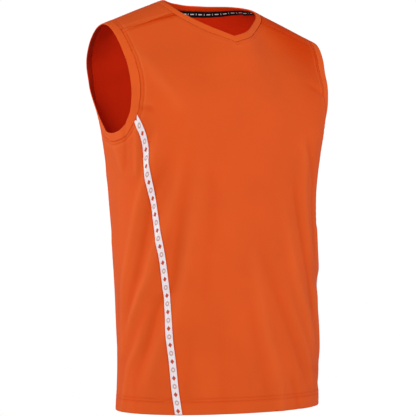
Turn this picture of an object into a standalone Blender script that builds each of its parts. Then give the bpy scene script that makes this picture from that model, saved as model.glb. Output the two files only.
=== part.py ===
"""A sleeveless V-neck padel top, standing filled out as worn, with no wearer in it.

The cloth is drawn on one chart and then placed on the worn shape. A chart point is (phi, q):
phi is the angle round the trunk in degrees, 0 at the middle and + to the wearer's left, and q is
the way down from the top of the shoulders in millimetres, + on the front and - on the back.
(phi, q) and (180 - phi, -q) are the same place, so a piece can wrap round the side seam.

Frame: origin midway between the two high shoulder points, +X the wearer's left, -Y the front, +Z up.
"""

import bpy
import numpy as np
from mathutils.geometry import delaunay_2d_cdt

MM = 0.001

# Driving sizes, in millimetres.
HEM_DEPTH = 694.5  # hem edge below the top of the shoulders
HEM_Q = HEM_DEPTH + 30.0  # the hem edge on the chart
HEM_TURN = 26.0  # height of the turned-up hem
HEM_STEP = 1.5  # the hem's inner layer fades out over this height
CLOTH = 1.2  # panel knit
HEM_CLOTH = 1.9  # panel knit where the hem is turned up
BAND_CLOTH = 2.2  # folded binding round the armholes and the neck
BAND_PROUD = 0.4  # the bindings stand this far outside the panels
TAPE_CLOTH = 0.6
TAPE_GAP = 0.45  # a tape's clearance from the panel it is sewn to
SEAM_GAP = 0.5  # clearance between two pieces at a seam
CORNER_TRIM = 0.4  # a panel's corner stands this far back from the next panel's
ARMHOLE_BAND = 14.0
NECK_BAND = 11.5
SIDE_TAPE = 10.5
NECK_TAPE = 9.0
NECK_TAPE_DROP = 0.9  # top of the neck tape below the neckband seam
NET = 23.5  # spacing of the points inside a panel
EDGE_STEP = 15.0  # spacing of the points along a seam

# The worn shape, level by level: (depth below the shoulders, half width, half depth in front,
# half depth behind, y of the middle, squareness of the section).
BODY = (
    (0, 306.0, 128, 136, -14.0, 0.12),
    (60, 275.0, 128, 136, -14.2, 0.20),
    (120, 237.0, 128, 134, -23.7, 0.25),
    (180, 212.0, 129, 131, -33.6, 0.25),
    (220, 203.0, 130, 129, -35.5, 0.24),
    (260, 196.3, 131, 129, -34.2, 0.20),
    (330, 189.4, 131, 128, -34.7, 0.12),
    (420, 188.0, 131, 128, -41.5, 0.07),
    (520, 185.7, 131, 128, -46.2, 0.05),
    (620, 185.8, 130, 128, -48.8, 0.04),
    (720, 188.7, 129, 128, -45.2, 0.04),
)
LEVEL, WIDTH, FRONT, BACK, MIDDLE, SQUARE = np.array(BODY, float).T

SLOPE = 0.452  # fall of the shoulder line per millimetre outwards
SLOPE_ROUND = 60.0  # radius that rounds the shoulder line at the neck
HIGH_POINT = 93.0  # half the distance between the high shoulder points
SHOULDER_FADE = 250.0  # depth at which the shoulder slope has died out
RIDGE_BACK = 14.0  # the shoulder line lies this far behind the middle at the neck
RIDGE_SWING = 0.21  # and swings forward by this much per millimetre outwards
FRONT_ROUND = (187.0, 95.0)  # how slowly the front rounds over, at the arm and less at the neck
BACK_ROUND = 105.0
TWIST = 9.6  # degrees by which the cloth has slid round the body at the hem
TWIST_TOP = 225.0  # the q at which that begins
TWIST_START = 0.07  # and the share of the way down over which it sets in

# Finished edge of the left armhole: from the side seam in front, under the arm, up the back,
# over the shoulder and down the front to the side seam again. (phi, q)
ARMHOLE = (
    (111.9, -229.9), (103.3, -250), (96.1, -258.5), (88, -261), (79.2, -254), (71.8, -235),
    (64.5, -211), (57, -186), (51, -160), (45.5, -128), (42.5, -95), (41.5, -60),
    (41.2, -30), (41.2, 0), (41.2, 30), (41.4, 55), (42.1, 80), (44, 108),
    (48.3, 136), (53.8, 166), (61.5, 201), (68.1, 229.9),
)
# Finished edge of the left half of the neck, from the point of the V to the middle of the back.
NECK = (
    (0, 110), (3, 104.5), (5.7, 97), (9, 82.5), (11.5, 68.5), (13.6, 55), (14.8, 42), (15.4, 26),
    (15.3, 14), (14.6, 4), (13.2, -5), (11.2, -15), (8.6, -26), (5, -35.5), (0, -40.5), (-5, -35.5),
)
# Side seam of the left side, from the armhole to the hem. (phi, q); its top is the armhole seam.
SIDE_SEAM = (
    (61.5, 252), (60.4, 268), (60.1, 284), (60.6, 298), (61.8, 316), (62.2, 340), (61.8, 358),
    (61, 378), (60.5, 408), (60, 440), (59.2, 482), (59.1, 518), (59, 560), (59.3, 598),
    (58.5, 638), (57.7, 677), (55.8, 716.6), (55.4, 724.5),
)
SHOULDER_SEAM_Q = (59.5, 49.0)  # the shoulder seam's q at the neck and at the armhole
NECK_TAPE_END_Q = 3.0  # the neck tape runs between the two high shoulder points

# The largest folds: the line of each crest or trough from its top to its bottom as (angle from the
# front middle, q), its half width and its height.
FOLDS = (
    (((-45, 258), (-50, 304), (-61, 355), (-69, 407), (-76, 461), (-84, 512), (-91, 562), (-96, 630)), 21, 4.4),
    (((-31, 262), (-37, 330), (-44, 382), (-50, 434), (-56, 486), (-66, 525), (-77, 566), (-90, 625)), 23, 4.8),
    (((-37, 266), (-46, 330), (-51, 380), (-61, 434), (-68, 486), (-74, 512), (-80, 539), (-87, 580)), 13, -3.6),
    (((-27, 262), (-31, 330), (-35, 382), (-40, 434), (-44, 486), (-48, 539), (-52, 580)), 11, -2.4),
    (((-22, 280), (-26, 369), (-32, 434), (-37, 499), (-41, 551), (-44, 610)), 19, 2.4),
    (((-54, 552), (-61, 591), (-64, 616), (-69, 643), (-73, 690)), 11, -2.4),
    (((-60, 560), (-68, 591), (-74, 617), (-80, 637), (-83, 665), (-86, 790)), 14, 3.2),
    (((-72, 566), (-75, 591), (-82, 618), (-90, 650)), 10, -2.6),
    (((-49, 575), (-53, 616), (-60, 643), (-65, 690)), 18, 2.4),
    (((-36, 570), (-38, 630), (-39, 690)), 9, -1.4),
    (((-64, 250), (-65, 285), (-66, 330)), 8, 2.2),
    (((-93, 250), (-86, 288), (-82, 312), (-80, 350)), 10, 2.4),
    (((31, 255), (35, 296), (40, 337), (43, 391), (45, 446), (49, 500)), 17, 3.0),
    (((29, 320), (33, 378), (34, 419), (37, 455), (41, 500)), 11, -2.4),
    (((22, 340), (25, 410), (26, 446), (30, 487), (37, 542), (43, 590), (50, 650)), 19, 4.0),
    (((9, 480), (15, 540), (19, 567), (25, 595), (30, 622), (35, 650), (42, 700)), 9, -2.6),
    (((1, 430), (3, 512), (8, 567), (13, 605), (17, 650), (17, 700), (16, 800)), 22, 3.2),
    (((-4, 480), (-2, 566), (2, 620), (5, 660), (10, 700), (10, 800)), 9, -1.7),
    (((22, 650), (27, 700), (30, 800)), 10, -1.6),
    (((78, 290), (84, 380), (91, 470), (97, 580)), 18, 3.4),
    (((63, 205), (61, 262), (61, 300), (63, 340), (64, 400), (65, 480)), 8, -1.9),
    (((53, 400), (56, 436), (60, 474), (64, 506)), 14, 2.6),
    (((48, 484), (60, 512), (70, 540)), 9, -1.9),
    (((44, 500), (52, 560), (59, 612), (65, 655)), 15, 2.5),
    (((40, 650), (58, 678), (72, 702)), 10, -1.5),
    (((101, 270), (94, 350), (84, 440)), 13, 3.0),
    (((74, 560), (80, 620), (87, 740)), 14, 2.6),
    (((-150, 240), (-143, 340), (-134, 440)), 19, 3.4),
    (((-137, 300), (-129, 380), (-121, 500)), 13, -2.6),
    (((-116, 300), (-113, 380), (-112, 470)), 15, 2.0),
    (((150, 260), (146, 360), (137, 480)), 20, 3.6),
    (((160, 300), (156, 400), (150, 520)), 12, -2.2),
    (((176, 410), (172, 520), (163, 680)), 24, 3.4),
    (((-172, 470), (-165, 580), (-160, 760)), 17, -2.6),
    (((126, 490), (120, 590), (115, 740)), 17, 3.4),
    (((110, 430), (104, 540), (101, 660)), 12, -2.4),
    (((-112, 420), (-119, 520), (-128, 680)), 18, 3.6),
)
FOLD_FADE = 0.3  # share of its length over which a fold rises at either end

PER_DEGREE = 3.2  # millimetres of cloth per degree, for measuring on the chart


def blend(x, knots, values):
    """Smooth curve through a table, with no overshoot; straight beyond its ends."""
    knots, values = np.asarray(knots, float), np.asarray(values, float)
    step = np.diff(knots)
    rise = np.diff(values) / step
    slope = np.concatenate([rise[:1], np.zeros(len(rise) - 1), rise[-1:]])
    before, after = 2 * step[1:] + step[:-1], step[1:] + 2 * step[:-1]
    rise = np.where(rise == 0, 1e-12, rise)
    same = rise[:-1] * rise[1:] > 0
    mean = (before + after) / np.where(same, before / rise[:-1] + after / rise[1:], 1.0)
    slope[1:-1] = np.where(same, mean, 0.0)
    at = np.clip(np.searchsorted(knots, x) - 1, 0, len(step) - 1)
    t = (np.clip(x, knots[0], knots[-1]) - knots[at]) / step[at]
    inside = (
        (1 + 2 * t) * (1 - t) ** 2 * values[at]
        + t * (1 - t) ** 2 * step[at] * slope[at]
        + t * t * (3 - 2 * t) * values[at + 1]
        + t * t * (t - 1) * step[at] * slope[at + 1]
    )
    return inside + slope[0] * np.minimum(x - knots[0], 0) + slope[-1] * np.maximum(x - knots[-1], 0)


def ease(t):
    """0 to 1 with level ends."""
    t = np.clip(t, 0, 1)
    return t * t * (3 - 2 * t)


def depth(q):
    """Depth below the shoulder line for the way q along the cloth, which starts out level."""
    v = np.abs(q)
    return np.where(v < 60, v * v / 120, v - 30)


def twist(q):
    """Degrees by which the cloth has slid round the body, to the wearer's left on the front: nothing
    at the armholes, then growing evenly to the hem after a soft start."""
    down = np.maximum((np.abs(q) - TWIST_TOP) / (HEM_Q - TWIST_TOP), 0)
    return np.where(q < 0, -1, 1) * TWIST * down**2 / (down + TWIST_START) * (1 + TWIST_START)


def trunk(phi, q):
    """The worn shape without its folds: chart points to millimetres."""
    turn, d = np.radians(phi + twist(q)), depth(q)
    level = np.clip(d, 0, LEVEL[-1])
    half_width, front, back, middle, square = (
        blend(level, LEVEL, column) for column in (WIDTH, FRONT, BACK, MIDDLE, SQUARE)
    )
    sine, cosine = np.sin(turn), np.cos(turn)
    x = half_width * sine * (1 + square * cosine**2)
    facing = q * cosine >= 0
    near_neck = (1 - ease((np.abs(x) - 20) / 75)) * (1 - ease((d - 70) / 170))
    rounding = np.where(facing, FRONT_ROUND[0] - FRONT_ROUND[1] * near_neck, BACK_ROUND)
    reach = np.where(facing, -front, back) * np.sqrt(1 - np.exp(-d / rounding))
    out = np.sqrt(x * x + SLOPE_ROUND**2) - np.hypot(HIGH_POINT, SLOPE_ROUND)
    fade = 1 - ease(d / SHOULDER_FADE)
    y = middle + reach * np.abs(cosine) * (1 + square * sine**2) + fade * (RIDGE_BACK - RIDGE_SWING * out)
    return np.stack([x, y, -SLOPE * out * fade - d], axis=-1)


def directions(chart):
    """Steps of the trunk per degree of phi and per millimetre of q, and its outward normal."""
    phi, q = chart[..., 0], chart[..., 1]
    along = (trunk(phi + 0.05, q) - trunk(phi - 0.05, q)) / 0.1
    up = (trunk(phi, q + 0.05) - trunk(phi, q - 0.05)) / 0.1
    normal = np.cross(up, along)
    return along, up, normal / np.linalg.norm(normal, axis=-1, keepdims=True)


def folds(chart):
    """Height of the cloth's folds above the trunk: a bell across each line, eased in at its ends."""
    down = np.abs(chart[..., 1])
    turn = chart[..., 0] + twist(chart[..., 1])
    turn = np.where(chart[..., 1] < 0, 180.0 - turn, turn)
    height = np.zeros(turn.shape)
    for crest, half_width, tall in FOLDS:
        angle, level = np.array(crest, float).T
        lean = (blend(down + 1, level, angle) - blend(down - 1, level, angle)) / 2 * PER_DEGREE
        off = (turn - blend(down, level, angle) + 180) % 360 - 180
        aside = off * PER_DEGREE / np.sqrt(1 + lean * lean)
        fade = FOLD_FADE * (level[-1] - level[0])
        ends = ease((down - level[0]) / fade) * ease((level[-1] - down) / fade)
        height += tall * ends * np.exp(-((aside / half_width) ** 2))
    return height


def placed(chart, lift=0.0):
    """Chart points to millimetres on the cloth's outer face, moved out by lift."""
    normal = directions(chart)[2]
    return trunk(chart[..., 0], chart[..., 1]) + normal * (folds(chart) + lift)[..., None]


def beside(line, width):
    """The chart line moved sideways on the cloth by width millimetres, away from the opening."""
    along, up, normal = directions(line)
    steps = np.gradient(line, axis=0)
    tangent = steps[:, :1] * along + steps[:, 1:] * up
    tangent /= np.linalg.norm(tangent, axis=1, keepdims=True)
    aim = np.cross(tangent, normal) * width
    grid = np.stack([along, up], axis=-1)
    square = np.einsum("nki,nkj->nij", grid, grid)
    return line + np.linalg.solve(square, np.einsum("nki,nk->ni", grid, aim)[..., None])[..., 0]


def path(table, lead=0):
    """Function from 0..1 to chart points on the smooth line through a table, without its lead
    points at either end, which only steer it."""
    points = np.array(table, float)
    lengths = np.linalg.norm(np.diff(points * (PER_DEGREE, 1), axis=0), axis=1)
    knots = np.concatenate([[0], np.cumsum(lengths)])
    first, last = knots[lead], knots[-1 - lead]
    return lambda t: np.stack(
        [blend(first + t * (last - first), knots, column) for column in points.T], axis=-1
    )


def mirrored(line):
    return line * (-1, 1)


def round_the_side(line):
    """The same places of the left side, written in the back panel's part of the chart."""
    return np.array([180.0, 0.0]) - line


FINE = np.linspace(0, 1, 1201)


def armhole_line(width):
    """Function from 0..1 to the line at this distance from the armhole's finished edge, which runs
    smoothly through its join under the arm."""
    table = np.array(ARMHOLE, float)
    loop = np.concatenate([round_the_side(table[-3:-1]), table, round_the_side(table[1:3])])
    along = np.linspace(-0.01, 1.01, 1400)
    line = beside(path(loop, 2)(along), width)
    return lambda t: np.stack([np.interp(t, along, column) for column in line.T], axis=-1)


def neck_line(width):
    """The same for the left half of the neck, cut at the middle of the front and of the back."""
    along = np.linspace(-0.12, 1, 1400)
    line = beside(path(NECK)(along), width)
    inside = np.flatnonzero(line[:, 0] >= 0)
    line = line[inside[0] : inside[-1] + 1]
    line[[0, -1], 0] = 0
    share = np.linspace(0, 1, len(line))
    return lambda t: np.stack([np.interp(t, share, column) for column in line.T], axis=-1)


def where_q(line, q, first, last):
    """Share of a line, between two shares, at which it passes this q."""
    t = np.linspace(first, last, 2000)
    return float(t[np.abs(line(t)[:, 1] - q).argmin()])


HALF_GAP = SEAM_GAP / 2
armhole_seam = armhole_line(ARMHOLE_BAND)
neck_seam = neck_line(NECK_BAND)
AT_NECK = where_q(neck_seam, SHOULDER_SEAM_Q[0], 0.0, 0.6)
AT_ARM = where_q(armhole_seam, SHOULDER_SEAM_Q[1], 0.5, 0.9)
AT_HIGH_POINT = where_q(neck_seam, NECK_TAPE_END_Q, 0.3, 0.95)


def share_of(line, millimetres):
    """The share of a whole chart line that is this long on the cloth."""
    return millimetres / np.linalg.norm(np.diff(placed(line(FINE)), axis=0), axis=1).sum()


def stations(*stops, step=EDGE_STEP, line):
    """Shares from each stop to the next, evenly spaced by about step millimetres."""
    whole = share_of(line, 1.0)
    parts = []
    for first, last in zip(stops, stops[1:]):
        count = max(2, round(abs(last - first) / whole / step))
        parts.append(np.linspace(first, last, count + 1)[:-1])
    return np.concatenate([*parts, [stops[-1]]])


def between(shares, first, last, trim_first, trim_last):
    """The shares from one stop to another, with the two end ones drawn in by a little."""
    found = shares[(shares > first - 1e-9) & (shares < last + 1e-9)].copy()
    found[0] += trim_first
    found[-1] -= trim_last
    return found


def side_line(offset, rows=None):
    """The side seam moved towards the front by offset, from the armhole seam down to the hem."""
    top = armhole_seam(np.array([1.0]))[0]
    whole = path(((2 * top[0] - SIDE_SEAM[0][0], 2 * top[1] - SIDE_SEAM[0][1]), tuple(top), *SIDE_SEAM))
    line = beside(whole(np.linspace(0, 1.02, 2400)), offset)
    limit = armhole_line(ARMHOLE_BAND + HALF_GAP)(FINE)
    front_half = limit[FINE > 0.85]
    under_arm = round_the_side(limit[FINE < 0.15])
    edge = np.concatenate([under_arm[::-1], front_half[::-1]])
    edge = edge[np.argsort(edge[:, 0])]
    outside = np.flatnonzero(line[:, 1] > np.interp(line[:, 0], edge[:, 0], edge[:, 1]))
    hem = HEM_Q
    below = np.flatnonzero(line[:, 1] >= hem)
    line = line[outside[0] : below[0] + 1]
    line[-1, 1] = hem
    if rows is None:
        rows = np.linspace(0, 1, 37)
    share = np.linspace(0, 1, len(line))
    return np.stack([np.interp(rows, share, column) for column in line.T], axis=-1)


def shoulder_line(offset):
    """The shoulder seam's inner points, moved towards the front by offset."""
    ends = np.stack([neck_seam(np.array([AT_NECK]))[0], armhole_seam(np.array([AT_ARM]))[0]])
    t = np.linspace(0, 1, 10)[:, None]
    return beside(ends[0] * (1 - t) + ends[1] * t, offset)[1:-1]


def cloth(name, points, faces, outwards, thickness, material, thin=None):
    """A piece of cloth: its outer face as a mesh, thickened inwards. thin lists lighter points."""
    flat = points[faces]
    facing = np.cross(flat[:, 1] - flat[:, 0], flat[:, 2] - flat[:, 0])
    if (facing * outwards[faces[:, 0]]).sum() < 0:
        faces = faces[:, ::-1]
    mesh = bpy.data.meshes.new(name)
    mesh.from_pydata((points * MM).tolist(), [], faces.tolist())
    mesh.materials.append(material)
    piece = bpy.data.objects.new(name, mesh)
    TOP.objects.link(piece)
    wall = piece.modifiers.new("Cloth thickness", "SOLIDIFY")
    wall.thickness = thickness * MM
    wall.offset = -1
    if thin is not None:
        group = piece.vertex_groups.new(name="thickness")
        everywhere = np.arange(len(points))
        group.add(everywhere[~thin].tolist(), 1.0, "REPLACE")
        group.add(everywhere[thin].tolist(), CLOTH / thickness, "REPLACE")
        wall.vertex_group = group.name
    return piece


def strip(name, rows, closed, lift, thickness, material):
    """A band or tape between chart lines of equally many points each."""
    rows = np.array(rows)
    count, across = rows.shape[1], rows.shape[0]
    points = placed(rows, lift).reshape(-1, 3)
    outwards = directions(rows)[2].reshape(-1, 3)
    j = np.arange(count if closed else count - 1)
    after = (j + 1) % count
    faces = [
        np.stack([i * count + j, i * count + after, (i + 1) * count + after, (i + 1) * count + j], axis=1)
        for i in range(across - 1)
    ]
    return cloth(name, points, np.concatenate(faces), outwards, thickness, material)


def inside(points, outline):
    """Which points lie inside a closed outline."""
    found = np.zeros(len(points), bool)
    for (x0, y0), (x1, y1) in zip(outline, np.roll(outline, -1, axis=0)):
        if y0 != y1:
            crosses = (points[:, 1] < y0) != (points[:, 1] < y1)
            found ^= crosses & (points[:, 0] < x0 + (points[:, 1] - y0) / (y1 - y0) * (x1 - x0))
    return found


def clear_of(points, lines, distance):
    """Which points keep this distance from every line."""
    clear = np.ones(len(points), bool)
    for line in lines:
        for a, b in zip(line, line[1:]):
            run = b - a
            t = np.clip(((points - a) @ run) / max(run @ run, 1e-9), 0, 1)
            clear &= np.linalg.norm(points - a - t[:, None] * run, axis=1) > distance
    return clear


def panel(name, outline, lines, material):
    """A cut panel: its outline and the lines marked on it, filled with evenly spaced points."""
    scale = np.array([PER_DEGREE, 1.0])
    outline = outline * scale
    lines = [line * scale for line in lines]
    low, high = outline.min(axis=0), outline.max(axis=0)
    rows = np.arange(low[1], high[1], NET * 0.866)
    columns = np.arange(low[0] - NET, high[0] + NET, NET)
    net = np.stack(np.meshgrid(columns, rows), axis=-1)
    net[1::2, :, 0] += NET / 2
    net = net.reshape(-1, 2)
    net = net[inside(net, outline)]
    net = net[clear_of(net, [np.vstack([outline, outline[:1]]), *lines], NET * 0.5)]
    points, edges = [outline], []
    count = len(outline)
    for line in lines:
        points.append(line)
        edges += [(count + i, count + i + 1) for i in range(len(line) - 1)]
        count += len(line)
    points = np.concatenate([*points, net])
    found = delaunay_2d_cdt(
        [tuple(p) for p in points], edges, [tuple(range(len(outline)))], 1, 1e-4
    )
    chart = np.array([tuple(p) for p in found[0]]) / scale
    faces = np.array([tuple(f) for f in found[2]])
    thin = np.abs(chart[:, 1]) < HEM_Q - HEM_TURN - HEM_STEP / 2
    return cloth(
        name, placed(chart), faces, directions(chart)[2], HEM_CLOTH, material, thin
    )


def hem_lines(first, last, q):
    """The two level lines that bound the turned-up hem, between two angles."""
    count = round((last - first) * PER_DEGREE / NET)
    phi = np.linspace(first, last, count + 1)
    return [
        np.stack([phi, np.full(len(phi), q - np.sign(q) * rise)], axis=-1)
        for rise in (HEM_TURN, HEM_TURN + HEM_STEP)
    ]


def material(name, colour, roughness):
    made = bpy.data.materials.new(name)
    made.use_nodes = True
    shader = made.node_tree.nodes["Principled BSDF"]
    shader.inputs["Base Color"].default_value = (*colour, 1)
    shader.inputs["Roughness"].default_value = roughness
    return made


def front_panel(knit):
    """The front: V at the top, shoulder seams in front of the shoulder line, side seams forward."""
    neck = neck_line(NECK_BAND + HALF_GAP)(between(NECK_STATIONS, 0, AT_NECK, 0, NECK_NUDGE))
    arm = armhole_line(ARMHOLE_BAND + HALF_GAP)(between(ARM_STATIONS, AT_ARM, 1, ARM_NUDGE, ARM_NUDGE))
    side = side_line(HALF_GAP)[1:]
    left = np.concatenate([neck, shoulder_line(HALF_GAP), arm, side])
    hem_q = HEM_Q
    limit = side[-1, 0]
    across = np.linspace(limit, -limit, round(2 * limit * PER_DEGREE / NET) + 1)[1:-1]
    hem = np.stack([across, np.full(len(across), hem_q)], axis=-1)
    outline = np.concatenate([left, hem, mirrored(left)[::-1][:-1]])
    under_tape = side_line(SIDE_TAPE / 2, SIDE_TAPE_ROWS)[1:-1]
    reach = limit - 3.2
    lines = [under_tape, mirrored(under_tape), *hem_lines(-reach, reach, hem_q)]
    return panel("front", outline, lines, knit)


def back_panel(knit):
    """The back: round both sides to the side seams, and over the shoulders to the shoulder seams."""
    neck = neck_line(NECK_BAND + HALF_GAP)(between(NECK_STATIONS, AT_NECK, 1, NECK_NUDGE, 0)[::-1])
    arm = armhole_line(ARMHOLE_BAND + HALF_GAP)(
        between(ARM_STATIONS, 0, AT_ARM, ARM_NUDGE, ARM_NUDGE)[::-1]
    )
    side = round_the_side(side_line(-HALF_GAP)[1:])
    left = np.concatenate([neck, shoulder_line(-HALF_GAP), arm, side])
    hem_q = -HEM_Q
    limit = side[-1, 0]
    across = np.linspace(limit, -limit, round(2 * limit * PER_DEGREE / NET) + 1)[1:-1]
    hem = np.stack([across, np.full(len(across), hem_q)], axis=-1)
    outline = np.concatenate([left, hem, mirrored(left)[::-1][:-1]])
    under_tape = round_the_side(side_line(-SIDE_TAPE / 2, SIDE_TAPE_ROWS))[1:-1]
    reach = limit - 3.2
    lines = [under_tape, mirrored(under_tape), *hem_lines(-reach, reach, hem_q)]
    for rise in NECK_TAPE_EDGES:
        half = neck_line(rise)(NECK_TAPE_STATIONS)
        lines.append(np.concatenate([half, mirrored(half)[::-1][1:]]))
    return panel("back", outline, lines, knit)


def armhole_band(name, knit, turn):
    """A folded binding round one armhole."""
    t = ARM_STATIONS[:-1]
    widths = (0.0, ARMHOLE_BAND / 2, ARMHOLE_BAND - HALF_GAP)
    rows = [turn(armhole_line(width)(t)) for width in widths]
    return strip(name, rows, True, BAND_PROUD, BAND_CLOTH, knit)


def neckband(knit):
    """A folded binding round the neck, with a point at the front."""
    t = NECK_STATIONS
    rows = []
    for width in (0.0, NECK_BAND / 2, NECK_BAND - HALF_GAP):
        half = neck_line(width)(t)
        rows.append(np.concatenate([half, mirrored(half)[::-1][1:-1]]))
    return strip("neckband", rows, True, BAND_PROUD, BAND_CLOTH, knit)


def side_tape(name, weave, turn):
    """A woven tape over one side seam, cut along the armhole binding at its top."""
    rows = [turn(side_line(o, SIDE_TAPE_ROWS)) for o in (-SIDE_TAPE / 2, 0.0, SIDE_TAPE / 2)]
    return strip(name, rows, False, TAPE_GAP + TAPE_CLOTH, TAPE_CLOTH, weave)


def neck_tape(weave):
    """A tape inside the back of the neck, just below the binding's seam."""
    rows = []
    for width in NECK_TAPE_EDGES:
        half = neck_line(width)(NECK_TAPE_STATIONS)
        rows.append(np.concatenate([half, mirrored(half)[::-1][1:]]))
    return strip("neck_tape", rows, False, -CLOTH - TAPE_GAP, TAPE_CLOTH, weave)


for old in list(bpy.data.objects):
    bpy.data.objects.remove(old)
TOP = bpy.data.collections.new("padel_tank_top")
bpy.context.scene.collection.children.link(TOP)

SIDE_TAPE_ROWS = np.linspace(0, 1, 37)
ARM_STATIONS = stations(0, AT_ARM, 1, line=armhole_seam)
NECK_STATIONS = stations(0, AT_NECK, 1, line=neck_seam)
ARM_NUDGE = share_of(armhole_seam, CORNER_TRIM)
NECK_NUDGE = share_of(neck_seam, CORNER_TRIM)
NECK_TAPE_EDGES = tuple(
    NECK_BAND + NECK_TAPE_DROP + NECK_TAPE * share for share in (0.0, 0.5, 1.0)
)
NECK_TAPE_STATIONS = stations(AT_HIGH_POINT, 1, line=neck_seam)

knit_colour = (0.716, 0.091, 0.017)
front_panel(material("Knit, front", knit_colour, 0.8))
back_panel(material("Knit, back", knit_colour, 0.8))
neckband(material("Binding, neck", knit_colour, 0.75))
armhole_band("armhole_band_left", material("Binding, left arm", knit_colour, 0.75), lambda line: line)
armhole_band("armhole_band_right", material("Binding, right arm", knit_colour, 0.75), mirrored)
side_tape("side_tape_left", material("Woven tape, left", (0.78, 0.76, 0.80), 0.6), lambda line: line)
side_tape("side_tape_right", material("Woven tape, right", (0.78, 0.76, 0.80), 0.6), mirrored)
neck_tape(material("Woven tape, neck", (0.006, 0.006, 0.006), 0.6))
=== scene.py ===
"""Looks of a sleeveless V-neck padel top in orange eyelet knit, standing filled out as worn.

The cloth is drawn on the same chart as the solids it stands for. A chart point is (phi, q): phi is
the angle round the trunk in degrees, 0 at the middle and + to the wearer's left, and q is the way
down from the top of the shoulders in millimetres, + on the front and - on the back.
(phi, q) and (180 - phi, -q) are the same place.

Frame: origin midway between the two high shoulder points, +X the wearer's left, -Y the front, +Z up.
"""

import bpy
import numpy as np
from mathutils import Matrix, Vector
from mathutils.geometry import delaunay_2d_cdt


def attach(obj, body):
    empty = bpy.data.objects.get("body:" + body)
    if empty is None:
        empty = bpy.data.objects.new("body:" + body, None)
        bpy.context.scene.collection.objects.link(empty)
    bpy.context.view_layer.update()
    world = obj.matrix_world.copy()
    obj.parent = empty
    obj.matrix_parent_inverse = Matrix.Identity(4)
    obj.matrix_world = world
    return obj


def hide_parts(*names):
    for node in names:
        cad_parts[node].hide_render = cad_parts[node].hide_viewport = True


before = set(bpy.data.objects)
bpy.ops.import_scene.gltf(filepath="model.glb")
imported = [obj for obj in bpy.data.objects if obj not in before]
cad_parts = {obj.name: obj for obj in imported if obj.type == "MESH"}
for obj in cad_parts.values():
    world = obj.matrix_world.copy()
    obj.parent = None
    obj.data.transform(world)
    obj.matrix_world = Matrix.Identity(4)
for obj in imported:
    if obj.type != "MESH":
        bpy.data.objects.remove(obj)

bl_info = {
    "name": "Padel Tank Top",
    "version": (1, 0, 0),
    "blender": (4, 5, 0),
    "location": "3D View > Sidebar > Tank Top",
    "description": "Builds the cloth, bindings, tapes and stitching of a padel top",
    "category": "Add Mesh",
}

MM = 0.001

# ---------------------------------------------------------------------------------------------
# Driving sizes, in millimetres
# ---------------------------------------------------------------------------------------------

HEM_DEPTH = 694.5  # hem edge below the top of the shoulders
HEM_TURN = 26.0  # height of the turned-up hem
ROUND_OVER = 60.0  # the cloth leaves the top of the shoulders level and has turned down after this
HEM_Q = HEM_DEPTH + ROUND_OVER / 2  # the hem edge on the chart
ARMHOLE_BAND = 14.0
NECK_BAND = 11.5
SIDE_TAPE = 10.5
NECK_TAPE = 13.0
NECK_TAPE_DROP = 0.6  # top of the neck tape below the neckband seam
NECK_TAPE_RISE = 6.5  # and how far it runs up over that seam at its ends
SHUT = 0.02  # two pieces meet this close to their seam line

# The worn shape, level by level: (depth below the shoulders, half width, half depth in front,
# half depth behind, y of the middle, squareness of the section).
BODY = (
    (0, 306.0, 128, 136, -14.0, 0.12),
    (60, 275.0, 128, 136, -14.2, 0.20),
    (120, 237.0, 128, 134, -23.7, 0.25),
    (180, 212.0, 129, 131, -33.6, 0.25),
    (220, 203.0, 130, 129, -35.5, 0.24),
    (260, 196.3, 131, 129, -34.2, 0.20),
    (330, 189.4, 131, 128, -34.7, 0.12),
    (420, 188.0, 131, 128, -41.5, 0.07),
    (520, 185.7, 131, 128, -46.2, 0.05),
    (620, 185.8, 130, 128, -48.8, 0.04),
    (720, 188.7, 129, 128, -45.2, 0.04),
)
LEVEL, WIDTH, FRONT, BACK, MIDDLE, SQUARE = np.array(BODY, float).T

SLOPE = 0.452  # fall of the shoulder line per millimetre outwards
SLOPE_ROUND = 60.0  # radius that rounds the shoulder line at the neck
HIGH_POINT = 93.0  # half the distance between the high shoulder points
SHOULDER_FADE = 250.0  # depth at which the shoulder slope has died out
RIDGE_BACK = 14.0  # the shoulder line lies this far behind the middle at the neck
RIDGE_SWING = 0.21  # and swings forward by this much per millimetre outwards
FRONT_ROUND = (187.0, 95.0)  # how slowly the front rounds over, at the arm and less at the neck
NECK_ACROSS = (20.0, 75.0)  # the neck's holds this far from the middle, and fades out over this way
NECK_DOWN = (70.0, 170.0)  # and this far down, and fades out over this way
BACK_ROUND = 105.0
TWIST = 9.6  # degrees by which the cloth has slid round the body at the hem
TWIST_TOP = 225.0  # the q at which that begins
TWIST_START = 0.07  # and the share of the way down over which it sets in

# Finished edge of the left armhole: from the side seam in front, under the arm, up the back,
# over the shoulder and down the front to the side seam again. (phi, q)
ARMHOLE = (
    (111.9, -229.9), (103.3, -250), (96.1, -258.5), (88, -261), (79.2, -254), (71.8, -235),
    (64.5, -211), (57, -186), (51, -160), (45.5, -128), (42.5, -95), (41.5, -60),
    (41.2, -30), (41.2, 0), (41.2, 30), (41.4, 55), (42.1, 80), (44, 108),
    (48.3, 136), (53.8, 166), (61.5, 201), (68.1, 229.9),
)
# Finished edge of the left half of the neck, from the point of the V to the middle of the back.
NECK = (
    (0, 110), (3, 104.5), (5.7, 97), (9, 82.5), (11.5, 68.5), (13.6, 55), (14.8, 42), (15.4, 26),
    (15.3, 14), (14.6, 4), (13.2, -5), (11.2, -15), (8.6, -26), (5, -35.5), (0, -40.5), (-5, -35.5),
)
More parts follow.
